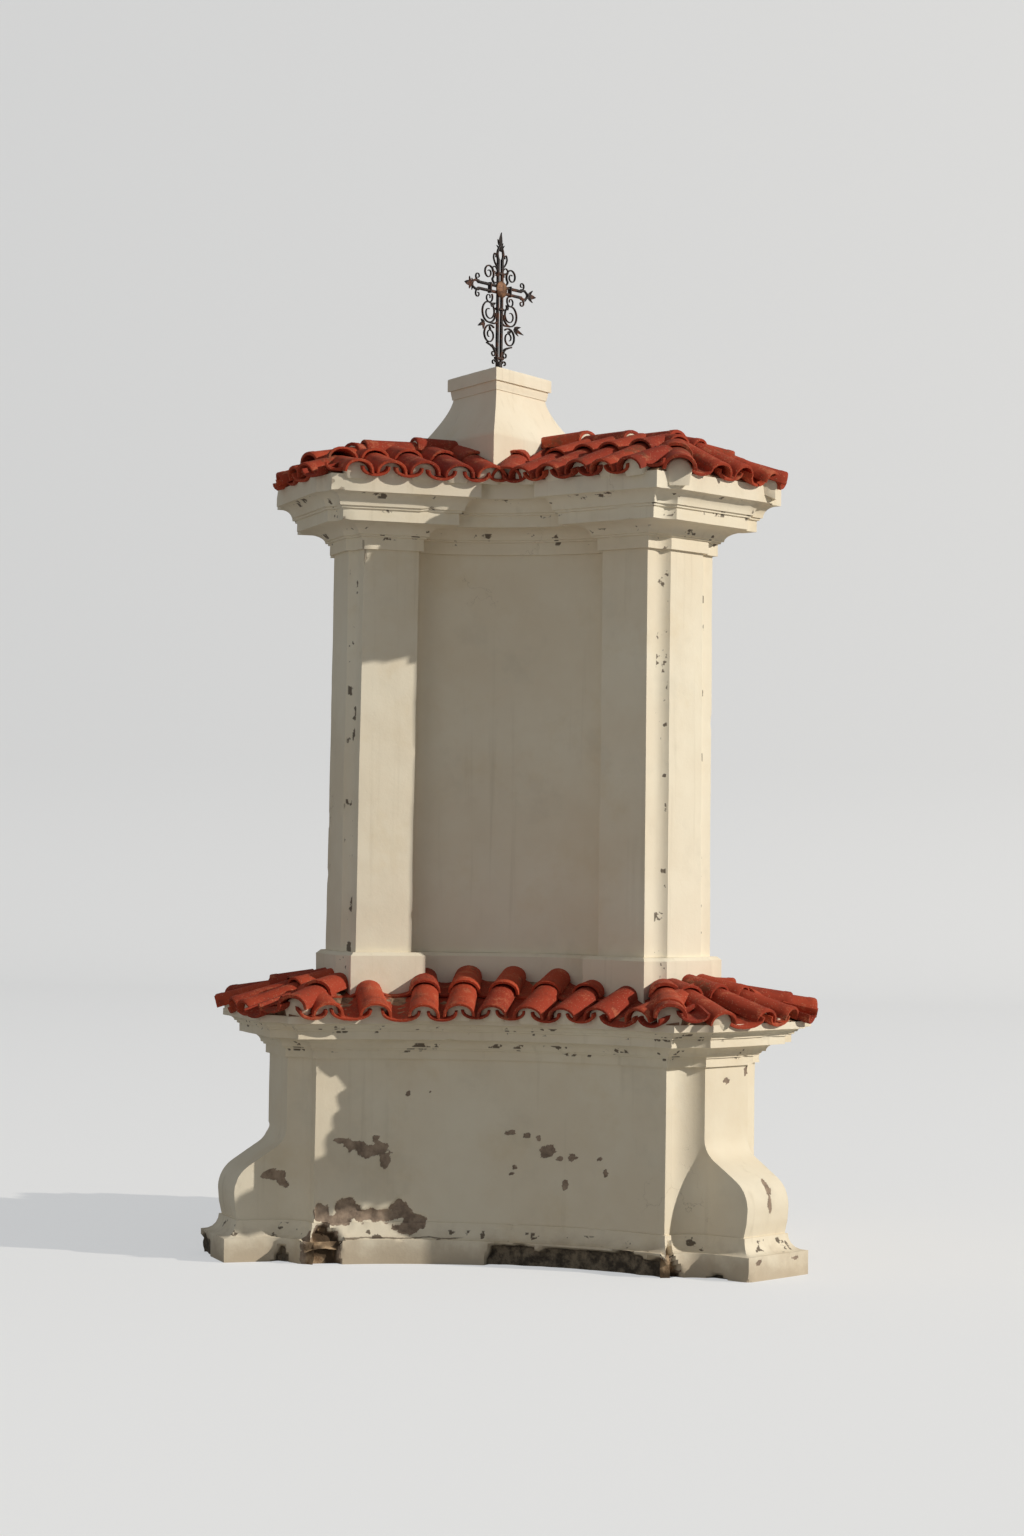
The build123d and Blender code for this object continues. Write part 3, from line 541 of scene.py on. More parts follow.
def weather(rows, chips=0.012, wave=0.003, ring=False):
    """Ages a skin of level rows: waves, chipped arrises, bare and missing places.

    Gives back the moved rows and the marks that the finish reads at each point."""
    grid = np.array([[tuple(point) for point in row] for row in rows])
    if ring:
        ahead, behind = np.roll(grid, -1, axis=1), np.roll(grid, 1, axis=1)
    else:
        ahead = np.concatenate([grid[:, 1:], 2 * grid[:, -1:] - grid[:, -2:-1]], axis=1)
        behind = np.concatenate([2 * grid[:, :1] - grid[:, 1:2], grid[:, :-1]], axis=1)
    over = np.concatenate([grid[1:], grid[-1:]])
    under = np.concatenate([grid[:1], grid[:-1]])
    normals = unit(np.cross(ahead - behind, over - under))

    def bulge(first, second):
        to_first, to_second = first - grid, second - grid
        length = np.linalg.norm(to_first, axis=2) + np.linalg.norm(to_second, axis=2)
        bend = unit(to_first) + unit(to_second)
        return np.where(length > 1e-6, -(bend * normals).sum(axis=2), 0.0)

    # Creases bend inwards; arrises bend outwards, and wear spreads two rows or columns from them
    level, upright = bulge(ahead, behind), bulge(over, under)
    seam = np.where(np.minimum(level, upright) < -0.25, 1.0, 0.0)
    sharp = np.clip(np.maximum(level, upright), 0.0, 1.0)
    spread = np.where(sharp > 0.25, sharp, 0.0)
    for _ in range(2):
        around = np.maximum(np.roll(spread, 1, axis=1), np.roll(spread, -1, axis=1))
        up = np.concatenate([spread[1:], spread[-1:]])
        down = np.concatenate([spread[:1], spread[:-1]])
        spread = np.maximum(spread, 0.5 * np.maximum.reduce([around, up, down]))

    worn, bare, rubble = np.zeros(spread.shape), np.zeros(spread.shape), np.zeros(spread.shape)
    moved = grid.copy()
    for r, c in np.ndindex(spread.shape):
        spot, edge = Vector(grid[r, c]), spread[r, c]
        shift = rough_at(spot, (wave, 2.6), (0.35 * wave, 11.0))
        if edge > 0.05:
            bite = min(1.0, max(0.0, (rough_at(spot, (1.0, 8.0), (0.6, 24.0)) - 0.58) / 0.30))
            shift -= edge * (0.0010 + chips * bite)
            worn[r, c] = edge * bite
        share, deep = loss_at(grid[r, c])
        if share > 0:
            shift -= share * deep * (0.75 + rough_at(spot, (0.5, 34.0)))
            bare[r, c] = share
        share, deep, buff = gap_at(grid[r, c])
        if share > 0:
            shift = -share * (deep + rough_at(spot, (0.018, 14.0), (0.003, 40.0)))
            rubble[r, c], bare[r, c] = share, buff
        moved[r, c] += normals[r, c] * shift
    return moved, {"worn": worn, "loss": bare, "rubble": rubble, "seam": seam}


def skin(name, rows, nodes, chips=0.012, wave=0.003, ring=False):
    """Closed piece from level rows, bottom row first; rows that aren't rings close on the shrine's middle."""
    moved, marks = weather(rows, chips, wave, ring)
    count, width = moved.shape[:2]
    verts = [tuple(moved[r, c]) for r in range(count) for c in range(width)]
    marks = {key: list(values.ravel()) for key, values in marks.items()}
    if ring:
        faces = wrapped(0, count, width) + ends(0, count, width)
    else:
        faces = []
        for r in range(count - 1):
            for a in range(r * width, r * width + width - 1):
                faces.append((a, a + 1, a + 1 + width, a + width))
        inside = len(verts)
        verts += [(0.0, 0.0, moved[r, 0, 2]) for r in range(count)]
        marks = {key: values + [0.0] * count for key, values in marks.items()}
        for r in range(count - 1):
            first, last = r * width, r * width + width - 1
            faces.append((last, inside + r, inside + r + 1, last + width))
            faces.append((inside + r, first, first + width, inside + r + 1))
        top = (count - 1) * width
        faces.append((inside, *range(width - 1, -1, -1)))
        faces.append((*range(top, top + width), inside + count - 1))
    new_piece(name, verts, faces, RENDER, nodes, 38, marks)


def levels(z_from, z_to, step, edges=0.012):
    """Heights from one level to another, closer together at both ends."""
    inner = max(1, round((z_to - z_from - 2 * edges) / step))
    middle = [z_from + edges + (z_to - z_from - 2 * edges) * k / inner for k in range(inner + 1)]
    return [z_from] + middle + [z_to]


def hollow(out_from, z_from, out_to, z_to, count=6):
    """Quarter-round hollow of a moulding."""
    turns = [pi / 2 * k / count for k in range(count + 1)]
    return [(out_from + (out_to - out_from) * (1 - cos(t)), z_from + (z_to - z_from) * sin(t)) for t in turns]


def cornice_profile(z, band_height, band, hollow_height, corona_height, corona, gullet_height,
                    fascia_height, fascia):
    """Projection and height up a cornice: band, hollow, corona, gullet and fascia."""
    points = [(band, z), (band, z + 0.5 * band_height), (band, z + band_height)]
    z += band_height
    points += [(band + FILLET, z + 0.001), (band + FILLET, z + FILLET)]
    z += FILLET
    points += hollow(band + 2 * FILLET, z + 0.001, corona - SOFFIT, z + hollow_height)
    z += hollow_height
    points += [(corona - 0.5 * SOFFIT, z + 0.0006), (corona, z + 0.001), (corona, z + 0.5 * corona_height)]
    z += corona_height
    points += [(corona, z - 0.002), (corona + FILLET, z), (corona + FILLET, z + FILLET)]
    z += FILLET
    points += hollow(corona + 2 * FILLET, z + 0.001, fascia - FILLET, z + gullet_height)
    z += gullet_height
    return points + [(fascia, z + 0.001), (fascia, z + 0.5 * fascia_height), (fascia, z + fascia_height)]


LOWER_FASCIA = 0.165
UPPER_FASCIA = 0.204
LOWER_MEMBERS = cornice_profile(BASE_TOP, 0.035, 0.014, 0.040, 0.036, 0.107, 0.021, 0.030, LOWER_FASCIA)
UPPER_MEMBERS = cornice_profile(SHAFT_TOP, 0.050, 0.016, 0.045, 0.050, 0.132, 0.053, 0.070, UPPER_FASCIA)


def build_cornices(step):
    for name, angle in ARMS.items():
        for plan, members, storey in ((BASE, LOWER_MEMBERS, "lower"), (SHAFT, UPPER_MEMBERS, "upper")):
            rows = [lifted(plan.outline(angle, out, step), z) for out, z in members]
            skin(f"{name}_{storey}_cornice_worn", rows, [f"{name}_{storey}_cornice"], chips=0.014)


def build_shaft(step):
    """Shaft in three skins, one round each arm, with its pilasters and pier; it is wider at its foot."""
    for name, angle in ARMS.items():
        rows = []
        for z in levels(SHAFT_FOOT, SHAFT_TOP, 0.024):
            spread = 1.013 - 0.013 * (z - SHAFT_FOOT) / (SHAFT_TOP - SHAFT_FOOT)
            rows.append(lifted(SHAFT.outline(angle, 0.0, step, spread), z))
        nodes = [f"{name}_corner_pier", f"{name}_pilaster_a", f"{name}_pilaster_b"]
        nodes += ["shaft_core"] if name == "right" else []
        skin(f"{name}_shaft_render", rows, nodes, chips=0.010, wave=0.004)


def build_shaft_plinth(step):
    out, chamfer = 0.042, 0.014
    members = [(out, z) for z in levels(LOWER_TOP, SHAFT_FOOT - chamfer, 0.022)]
    members += [(out - 0.5 * chamfer, SHAFT_FOOT - 0.5 * chamfer), (out - chamfer, SHAFT_FOOT)]
    for name, angle in ARMS.items():
        rows = [lifted(SHAFT.outline(angle, o, step), z) for o, z in members]
        nodes = ["shaft_plinth"] if name == "right" else []
        skin(f"{name}_shaft_plinth_worn", rows, nodes, chips=0.012, wave=0.004)


def volute_line():
    """Reach and height down the front of a buttress: neck, hollow, straight run, belly and tuck."""
    turn, hollow_radius, belly_radius = radians(57), 0.100, 0.135
    belly, tuck, top = 0.217, 0.017, 0.545
    bends = [turn * k / 8 for k in range(9)]
    points = [(BASE.end, BASE_TOP)]
    for bend in bends:
        points.append((BASE.end + hollow_radius * (1 - cos(bend)), top - hollow_radius * sin(bend)))
    run = (belly - (hollow_radius + belly_radius) * (1 - cos(turn))) / sin(turn)
    u, z = points[-1][0] + run * sin(turn), points[-1][1] - run * cos(turn)
    hub = (u - belly_radius * cos(turn), z - belly_radius * sin(turn))
    points += [on_arc(hub, belly_radius, bend) for bend in reversed(bends)]
    u, z = points[-1]
    return points + [(u - 0.25 * tuck, 0.5 * (z + PLINTH_TOP)), (u - tuck, PLINTH_TOP), (u - tuck, 0.0)]


VOLUTE = volute_line()[::-1]
VOLUTE_Z = [z for _, z in VOLUTE]
VOLUTE_U = [u for u, _ in VOLUTE]
SHIN = VOLUTE_U[0]
# How far a foot's end stands out where the plinth stands out by PLINTH_OUT
FOOT_OUT = 0.073


def buttress_outline(reach, out, step):
    """Half plan of a buttress from the middle of its front to the end of the bay wall."""
    half, cove = BASE.half + out, BASE.cove
    hub = (BASE.front + cove + out, half + cove)
    if reach >= hub[0]:
        straight, start, face = reach - hub[0], radians(270), half
    else:
        start = atan2(-sqrt(cove**2 - (hub[0] - reach) ** 2), reach - hub[0]) % (2 * pi)
        straight, face = 0.0, hub[1] + cove * sin(start)
    bend = cove * (start - pi)
    points = [(reach, face * k / 9) for k in range(9)]
    count = round((0.20 + cove * pi / 2) / step)
    for k in range(count + 1):
        way = (straight + bend) * k / count
        if way < straight:
            points.append((reach - way, half))
        else:
            points.append(on_arc(hub, cove, start - (way - straight) / cove))
    return points


def base_outline(angle, reach, out, step):
    """Third of the base plan round an arm: half bay, buttress, half bay."""
    points = buttress_outline(reach, out, step)
    for leg, plain in list(zip(BASE.legs(out), BASE.legs(0.0)))[2:]:
        points += leg_points(leg, plain, step, 1)
    return both_sides(angle, points)


def build_base(step):
    """Walls and buttresses of the base, one skin round each arm."""
    for name, angle in ARMS.items():
        rows = []
        for z in levels(0.5 * PLINTH_TOP, BASE_TOP, 0.011, 0.006):
            reach = float(np.interp(z, VOLUTE_Z, VOLUTE_U))
            rows.append(lifted(base_outline(angle, reach, 0.0, step), z))
        nodes = [f"{name}_buttress"] + (["base_core"] if name == "right" else [])
        skin(f"{name}_base_render", rows, nodes, chips=0.010)


def build_plinths(step):
    """Plinth and feet of the base, one skin round each arm."""
    members = [(PLINTH_OUT, z) for z in levels(0.0, PLINTH_BLOCK, 0.018, 0.008)]
    sweep = hollow(PLINTH_LIP, -PLINTH_TOP, PLINTH_OUT - PLINTH_LIP, -PLINTH_BLOCK - 0.001, 5)
    members += [(out, -z) for out, z in reversed(sweep)] + [(0.0, PLINTH_TOP + 0.001)]
    for (name, angle), bay in zip(ARMS.items(), ("front", "right_rear", "left_rear")):
        rows = []
        for out, z in members:
            rows.append(lifted(base_outline(angle, SHIN + out * FOOT_OUT / PLINTH_OUT, out, step), z))
        skin(f"{name}_plinth_worn", rows, [f"{name}_foot", f"{bay}_plinth"], chips=0.014)


build_base(0.011)
build_plinths(0.014)
build_cornices(0.016)
build_shaft(0.020)
build_shaft_plinth(0.018)


# Clay tile roofs

class Eaves:
    """Outline and slopes of one roof, as the bed under the tiles has them."""

    def __init__(self, half, end, radius, slope, left_slope, end_pitch, z_from, plan, fascia):
        self.half, self.end, self.radius = half, end, radius
        self.slope, self.left_slope, self.end_pitch = slope, left_slope, end_pitch
        self.hub = (half + radius) * 2 / ROOT3
        self.z_from, self.z_eaves = z_from, z_from + EAVE_THICKNESS
        self.plan, self.fascia = plan, fascia

    def slope_at(self, x, y):
        """Slope of the roof at a point; the left arm can lie flatter than the others."""
        share = (in_arm(ARMS["left"], x, y)[0] - 0.10) / 0.70
        return self.slope + (self.left_slope - self.slope) * min(1.0, max(0.0, share))

    def face_at(self, x, y):
        """How far a point lies up its slope, and which slope that is."""
        best = (0.0, None)
        for name, angle in ARMS.items():
            u, v = in_arm(angle, x, y)
            if u < 0 or abs(v) > u * ROOT3 + 1e-6:
                continue
            hub_u, hub_v = self.hub / 2, self.hub * ROOT3 / 2
            at_bay = atan2(hub_v - abs(v), u - hub_u) > radians(90)
            run = hypot(u - hub_u, abs(v) - hub_v) - self.radius if at_bay else self.half - abs(v)
            choices = [(run, (name, 1 if v > 0 else -1, "bay" if at_bay else "side")),
                       (self.end_pitch * (self.end - u), (name, 0, "end"))]
            best = min(choices, key=lambda item: item[0])
        return best

    def bed(self, x, y):
        return self.z_eaves + self.slope_at(x, y) * self.face_at(x, y)[0]


def inside_plan(plan, out, x, y):
    """Whether a point lies inside a storey's outline."""
    for angle in ARMS.values():
        u, v = in_arm(angle, x, y)
        v = abs(v)
        if u < 0 or v > u * ROOT3 + 1e-6:
            continue
        if u > plan.front + out:
            return u < plan.end + out and v < plan.half + out + 0.02
        if u > plan.inner - out:
            return v < plan.wall + plan.pilaster + out
        return hypot(u - plan.inner, v - plan.wall - plan.bow) > plan.bow - out
    return True


# The cap stands off the middle and turned
CAP_X, CAP_Y, CAP_TURN = -0.145, -0.045, -81
CAP_RADIUS = 0.430


def inside_cap(x, y, grown):
    for k in range(3):
        way = radians(CAP_TURN + 180 + 120 * k)
        if (x - CAP_X) * cos(way) + (y - CAP_Y) * sin(way) > CAP_RADIUS / 2 + grown:
            return False
    return True


LOWER_EAVES = Eaves(0.500, 1.280, BASE.bow - 0.118, 0.33, 0.33, 1.0, LOWER_TOP, BASE, LOWER_FASCIA)
UPPER_EAVES = Eaves(0.465, 1.085, 0.120, 0.38, 0.25, 1.35, UPPER_TOP, SHAFT, UPPER_FASCIA)

# Half-round tiles: covers, which lie hollow side down, pans between them, and large ones on hips and ridges
COVER_LENGTH = 0.31
COVER_WIDTH = 0.128
COVER_HEIGHT = 0.056
COVER_THICK = 0.011
COVER_TAPER = 0.16
PAN_WIDTH = 0.118
PAN_DEPTH = 0.044
PAN_THICK = 0.012
PAN_TAPER = 0.12
PAN_LIFT = 0.016
EDGE_PAN = 0.135
RIDGE_THICK = 0.014
RIDGE_TAPER = 0.12
# How much of a tile shows, also where the lowest hip tile is doubled, how the rows sit on the bed,
# and how far from its ridge a column ends
EXPOSED = 0.235
DOUBLED = 0.075
SEAT = -0.016
RIDGE_GAP = 0.030


class Batch:
    """Collects parts of one kind into one mesh."""

    def __init__(self):
        self.verts, self.faces, self.marks = [], [], {}

    def finish(self, name, material, slot, nodes=()):
        new_piece(name, self.verts, self.faces, material, nodes, marks=self.marks)


class TileBatch(Batch):
    """Half-round tiles."""

    def lay(self, foot, up, normal, length, width, height, hollow_up, taper, thick, kiln):
        """One tile from its lower end upwards; hollow_up makes it a pan."""
        across = up.cross(normal).normalized()
        stations = [0.0, 0.005, 0.028, 0.034, 0.35 * length, 0.7 * length, length - 0.004, length]
        steps = 10
        start = len(self.verts)
        for layer in (0, 1):
            for way in stations:
                share = way / length
                scale = 1 - taper * share if not hollow_up else 1 - taper * (1 - share)
                rim = 0.0015 if way < 0.03 and not hollow_up else 0.0
                round_off = 0.002 if way in (0.0, length) else 0.0
                shell = -round_off + rim if layer == 0 else -thick + round_off
                half, rise = width / 2 * scale + shell, height * scale + shell
                for k in range(steps + 1):
                    turn = pi * k / steps
                    lift = rise * sin(turn) ** 0.85 if 0 < k < steps else 0.0
                    lift = -lift if hollow_up else lift
                    self.verts.append(foot + up * way + across * (half * cos(turn)) + normal * lift)
        rows, wide = len(stations), steps + 1
        shift = rows * wide
        faces = []
        for r in range(rows - 1):
            for a in range(start + r * wide, start + r * wide + steps):
                faces.append((a, a + 1, a + 1 + wide, a + wide))
                faces.append((a + wide + shift, a + 1 + wide + shift, a + 1 + shift, a + shift))
            a, b = start + r * wide, start + r * wide + steps
            faces += [(a, a + wide, a + wide + shift, a + shift), (b + wide, b, b + shift, b + wide + shift)]
        for a in range(start, start + steps):
            b = a + (rows - 1) * wide
            faces += [(a + 1, a, a + shift, a + 1 + shift), (b, b + 1, b + 1 + shift, b + shift)]
        self.faces += [face[::-1] for face in faces] if hollow_up else faces
        self.marks.setdefault("kiln", []).extend([kiln] * (2 * shift))


class MortarBatch(Batch):
    """Lumps of lime mortar."""

    def fill(self, foot, up, normal, half, rise, length, sink=0.028):
        """Half-round lump under a tile, from foot upwards, its sides carried down by sink."""
        across = up.cross(normal).normalized()
        start, steps = len(self.verts), 8
        stations = [(0.0, 0.86), (0.005, 0.97), (0.45 * length, 1.0), (length, 0.9)]
        turns = [pi * k / steps for k in range(steps + 1)]
        arch = [(cos(turn), sin(turn) if 0 < turn < pi else 0.0) for turn in turns]
        for way, scale in stations:
            ring = [(a * half * scale, b * rise * scale) for a, b in arch]
            ring += [(-0.8 * half * scale, -sink), (0.8 * half * scale, -sink)]
            for a, b in ring:
                spot = foot + up * way + across * a + normal * b
                rough = rough_at(spot, (0.004, 45.0))
                self.verts.append(spot + up * (1.5 * rough if way < 0.01 else 0.0) + normal * min(0.0, rough))
        self.faces += wrapped(start, len(stations), steps + 3) + ends(start, len(stations), steps + 3)


class Roof:
    """Tiles and mortar of one roof, gathered for each arm."""

    def __init__(self, eaves, blocked, seed, gable=None):
        self.eaves, self.blocked, self.luck, self.gable = eaves, blocked, Random(seed), gable
        self.tiles = {name: TileBatch() for name in ARMS}
        self.mortar = {name: MortarBatch() for name in ARMS}

    def free_run(self, foot, up):
        """How far a column runs up before the slope changes or the wall begins."""
        probe = foot + up * 0.03
        own = self.eaves.face_at(probe.x, probe.y)[1]
        run = 0.03
        while run < 1.2:
            spot = foot + up * run
            carrier = self.eaves.face_at(spot.x, spot.y)[1]
            if self.blocked(spot.x, spot.y) or carrier is None:
                break
            arm, side, kind = own
            u, v = in_arm(ARMS[arm], spot.x, spot.y)
            if carrier[0] == arm == self.gable:
                if kind == "end" and run > 0.14 or kind != "end" and v * side < RIDGE_GAP:
                    break
            elif (carrier[2] == "end") != (kind == "end"):
                break
            elif kind != "end" and carrier[0] == arm and v * side < (RIDGE_GAP if u > 0.15 else 0.0):
                break
            run += 0.01
        return run

    def column(self, arm, foot, up, pan_width=0.0, filled=True):
        """Covers from the eave up, or pans of a given width; the lowest cover is filled with mortar."""
        run, luck, eaves = self.free_run(foot, up), self.luck, self.eaves
        side = Vector((-up.y, up.x, 0.0))
        start = 0.0
        while run > 0.07 and start < run - (0.05 if start else 0.0):
            length = max(0.11, min(COVER_LENGTH, run - start + 0.02))
            spot = foot + up * start + side * luck.uniform(-0.004, 0.004)
            head = spot + up * length
            spot.z = eaves.bed(spot.x, spot.y) + SEAT + luck.uniform(-0.003, 0.003)
            head.z = eaves.bed(head.x, head.y) + SEAT
            if not start:
                head.z = max(head.z, spot.z + 0.12 * length)
            spot.z += (-0.002 if start else -0.006) if pan_width else (0.000 if start else -0.014)
            head.z -= 0.012
            way = (head - spot).normalized()
            way = (way + side * luck.uniform(-0.025, 0.025)).normalized()
            roll = side * (1 if way.cross(side).z > 0 else -1)
            normal = (way.cross(roll) + side * luck.uniform(-0.04, 0.04)).normalized()
            size = luck.uniform(0.97, 1.04)
            lower = spot + way * luck.uniform(-0.012, 0.010)
            tone = luck.random()
            tiles = self.tiles[arm]
            if pan_width:
                width, depth = pan_width * size, PAN_DEPTH * (0.7 + 0.3 * pan_width / PAN_WIDTH)
                seat = lower + normal * PAN_LIFT
                tiles.lay(seat, way, normal, length, width, depth, True, PAN_TAPER, PAN_THICK, tone)
            else:
                width, height = COVER_WIDTH * size, COVER_HEIGHT * size
                tiles.lay(lower, way, normal, length, width, height, False, COVER_TAPER, COVER_THICK, tone)
                if not start:
                    half, rise = width / 2 - COVER_THICK, height - COVER_THICK - 0.001
                    inset = luck.uniform(0.022, 0.036) if filled else luck.uniform(0.075, 0.095)
                    self.mortar[arm].fill(lower + way * inset, way, normal, half, rise, 0.06)
            start += EXPOSED + luck.uniform(-0.015, 0.015)

    def lay_slope(self, stand, covers, edges, filled=True):
        """Covers at given places along an eave, with pans between them and beyond the outer ones.

        stand gives the arm, the foot and the way up of a place."""
        for where in covers:
            self.column(*stand(where), 0.0, filled)
        places = sorted(covers)
        for low, high in zip(places, places[1:]):
            reach = (stand(high)[1] - stand(low)[1]).length
            self.column(*stand((low + high) / 2), min(0.24, max(0.12, 0.97 * reach)))
        for where in edges:
            self.column(*stand(where), EDGE_PAN)

    def lay_bays(self, turns):
        """Columns round the hollow of each bay, at turns from its middle."""
        for bay in BAYS.values():
            centre = arm_point(bay, self.eaves.hub, 0.0)

            def stand(turn):
                up = arm_point(bay + 180 - turn, 1.0, 0.0)
                foot = centre + up * self.eaves.radius
                return max(ARMS, key=lambda name: in_arm(ARMS[name], foot.x, foot.y)[0]), foot, up

            self.lay_slope(stand, turns, [])

    def lay_sides(self, reaches, edge):
        """Columns along both sides of each arm, at reaches along it; the first belongs to the bay."""
        for name, angle in ARMS.items():
            for side in (1, -1):
                def stand(reach):
                    return name, arm_point(angle, reach, side * self.eaves.half), arm_point(angle, 0.0, -side)

                self.lay_slope(stand, reaches, [edge])

    def lay_ends(self, places, edges, filled=True):
        """Columns on the end of each arm, at places across it, closing up a little towards the wall."""
        for name, angle in ARMS.items():
            def stand(across):
                up = arm_point(angle, -0.37, -0.50 * across).normalized()
                return name, arm_point(angle, self.eaves.end, across), up

            self.lay_slope(stand, places, edges, filled)

    def chain(self, arm, start, finish, width=0.140, height=0.063, pointed=False, first=EXPOSED):
        """Large tiles one over the next up a hip or ridge; pointed puts mortar in their joints."""
        tiles, mortar, luck = self.tiles[arm], self.mortar[arm], self.luck
        way = finish - start
        reach, up = way.length, way.normalized()
        side = up.cross(UPRIGHT).normalized()
        normal = side.cross(up).normalized()
        place = 0.0
        while place < reach - 0.05:
            length = min(COVER_LENGTH, reach - place + 0.03)
            spot = start + up * (place + luck.uniform(-0.008, 0.008)) + normal * 0.010
            tilt = (up - normal * (0.020 / length) + side * luck.uniform(-0.03, 0.03)).normalized()
            lean = (normal + side * luck.uniform(-0.05, 0.05)).normalized()
            lean = (lean - tilt * lean.dot(tilt)).normalized()
            tone = luck.random()
            tiles.lay(spot, tilt, lean, length, width, height, False, RIDGE_TAPER, RIDGE_THICK, tone)
            if pointed and place:
                half, rise = width / 2 - 0.010, height - 0.009
                mortar.fill(spot + tilt * 0.002, tilt, lean, half, rise, 0.05, 0.0)
            place += (EXPOSED if place else first) + luck.uniform(-0.02, 0.02)

    def corner_pan(self, arm, foot, up, normal, length, width, depth):
        """Pan on the corner of an arm, under the hip tiles."""
        tone = self.luck.random()
        self.tiles[arm].lay(foot, up, normal, length, width, depth, True, PAN_TAPER, PAN_THICK, tone)

    def on_bed(self, arm, u, v, lift=0.0):
        spot = arm_point(ARMS[arm], u, v)
        return Vector((spot.x, spot.y, self.eaves.bed(spot.x, spot.y) + lift))

    def finish(self, storey):
        for arm in ARMS:
            self.tiles[arm].finish(f"{arm}_{storey}_tiles", CLAY, "roof_tile", [f"{arm}_{storey}_roof"])
            self.mortar[arm].finish(f"{arm}_{storey}_mortar", RENDER, "lime_render")


def build_lower_tiles():
    roof = Roof(LOWER_EAVES, lambda x, y: inside_plan(SHAFT, 0.032, x, y), 11)
    roof.lay_bays([-30, -21, -12.2, -5.8, 0.5, 7.2, 14.1, 20.9, 30])
    roof.lay_sides([], 1.085)
    roof.lay_ends([-0.28, 0.0, 0.19], [0.315])
    for arm, angle in ARMS.items():
        for side in (1, -1):
            low = roof.on_bed(arm, 1.165, side * 0.475, -0.022)
            high = roof.on_bed(arm, 0.87, side * 0.15, -0.028)
            roof.chain(arm, low, high, 0.134, 0.060, first=DOUBLED if arm == "right" else EXPOSED)
            up = (high - low).normalized()
            roof.mortar[arm].fill(low + up * 0.035, up, UPRIGHT, 0.053, 0.052, 0.06, 0.04)
            corner = roof.on_bed(arm, LOWER_EAVES.end - 0.035, side * (LOWER_EAVES.half - 0.085), 0.002)
            up = (arm_point(angle + side * 35, -1.0, 0.0) + Vector((0, 0, 0.2))).normalized()
            normal = up.cross(Vector((-up.y, up.x, 0.0))).normalized()
            roof.corner_pan(arm, corner, up, normal if normal.z > 0 else -normal, 0.24, 0.140, PAN_DEPTH)
    roof.finish("lower")


# Where the upper ridges start beside the cap, and where they meet the hips
RIDGE_FROM = {"right": 0.10, "back": 0.20, "left": 0.34}
RIDGE_TO = 0.79


def build_upper_tiles():
    eaves = UPPER_EAVES
    roof = Roof(eaves, lambda x, y: inside_cap(x, y, -0.02), 23, gable="left")
    roof.lay_bays([-30, -2, 30])
    roof.lay_sides([eaves.hub / 2 + 0.145, 0.63, 0.77, 0.915], eaves.hub / 2 + 0.07)
    roof.lay_ends([-0.10, 0.075, 0.25], [-0.20, 0.34], filled=False)
    for arm in ARMS:
        inner = RIDGE_FROM[arm]
        if arm == "left":
            bend = roof.on_bed(arm, 0.76, 0.0, -0.020)
            roof.chain(arm, roof.on_bed(arm, 1.02, 0.09, -0.006), bend, pointed=True)
            roof.chain(arm, bend, roof.on_bed(arm, inner, 0.0, -0.020), pointed=True)
            continue
        for side in (1, -1):
            low = roof.on_bed(arm, 1.075, side * 0.345, -0.045)
            high = roof.on_bed(arm, RIDGE_TO, side * 0.035, -0.040)
            roof.chain(arm, low, high)
            up = (high - low).normalized()
            roof.mortar[arm].fill(low + up * 0.03, up, UPRIGHT, 0.055, 0.050, 0.09, 0.060)
        low, high = roof.on_bed(arm, RIDGE_TO, 0.0, -0.033), roof.on_bed(arm, inner, 0.0, -0.028)
        roof.chain(arm, low, high, pointed=True)
    for arm, angle in ARMS.items():
        for side in (1, -1):
            corner = roof.on_bed(arm, eaves.end - 0.085, side * (eaves.half - 0.035))
            roof.corner_pan(arm, corner, arm_point(angle + side * 70, -1.0, 0.0), UPRIGHT, 0.17, 0.115, 0.038)
    roof.finish("upper")


def build_bed(eaves, storey, blocked):
    """Mortar bed under the tiles: spokes in level steps from the fascia to the wall, for each arm."""
    spokes = range(-60, 61, 2)
    for arm, angle in ARMS.items():
        verts = []
        for turn in spokes:
            way = radians(angle + turn)
            reach = 1.6
            while not inside_plan(eaves.plan, eaves.fascia - 0.004, reach * cos(way), reach * sin(way)):
                reach -= 0.004
            inner = reach
            while inner > 0.02 and not blocked(inner * cos(way), inner * sin(way)):
                inner -= 0.006
            inner = max(0.02, inner - 0.03)
            verts += [(r * cos(way), r * sin(way), eaves.z_from) for r in (inner, reach)]
            for m in range(7, -1, -1):
                x, y = on_arc((0.0, 0.0), inner + (reach - inner) * m / 7, way)
                verts.append((x, y, eaves.bed(x, y) - 0.046 + rough_at((x, y, 0.0), (0.010, 14.0))))
        wide = len(verts) // len(spokes)
        faces = wrapped(0, len(spokes), wide) + ends(0, len(spokes), wide)
        new_piece(f"{arm}_{storey}_bed", verts, faces, MORTAR, sharp=45)


build_lower_tiles()
build_upper_tiles()
build_bed(LOWER_EAVES, "lower", lambda x, y: inside_plan(SHAFT, 0.0, x, y))
build_bed(UPPER_EAVES, "upper", lambda x, y: hypot(x, y) < 0.05)


# Cap

def cap_outline(radius, z, count=22):
    """Three straight sides round the cap's middle, counterclockwise."""
    corners = [Vector((CAP_X, CAP_Y, z)) + arm_point(CAP_TURN + 120 * k, radius, 0.0) for k in range(3)]
    points = []
    for k in range(3):
        points += [corners[k].lerp(corners[(k + 1) % 3], m / count) for m in range(count)]
    return points


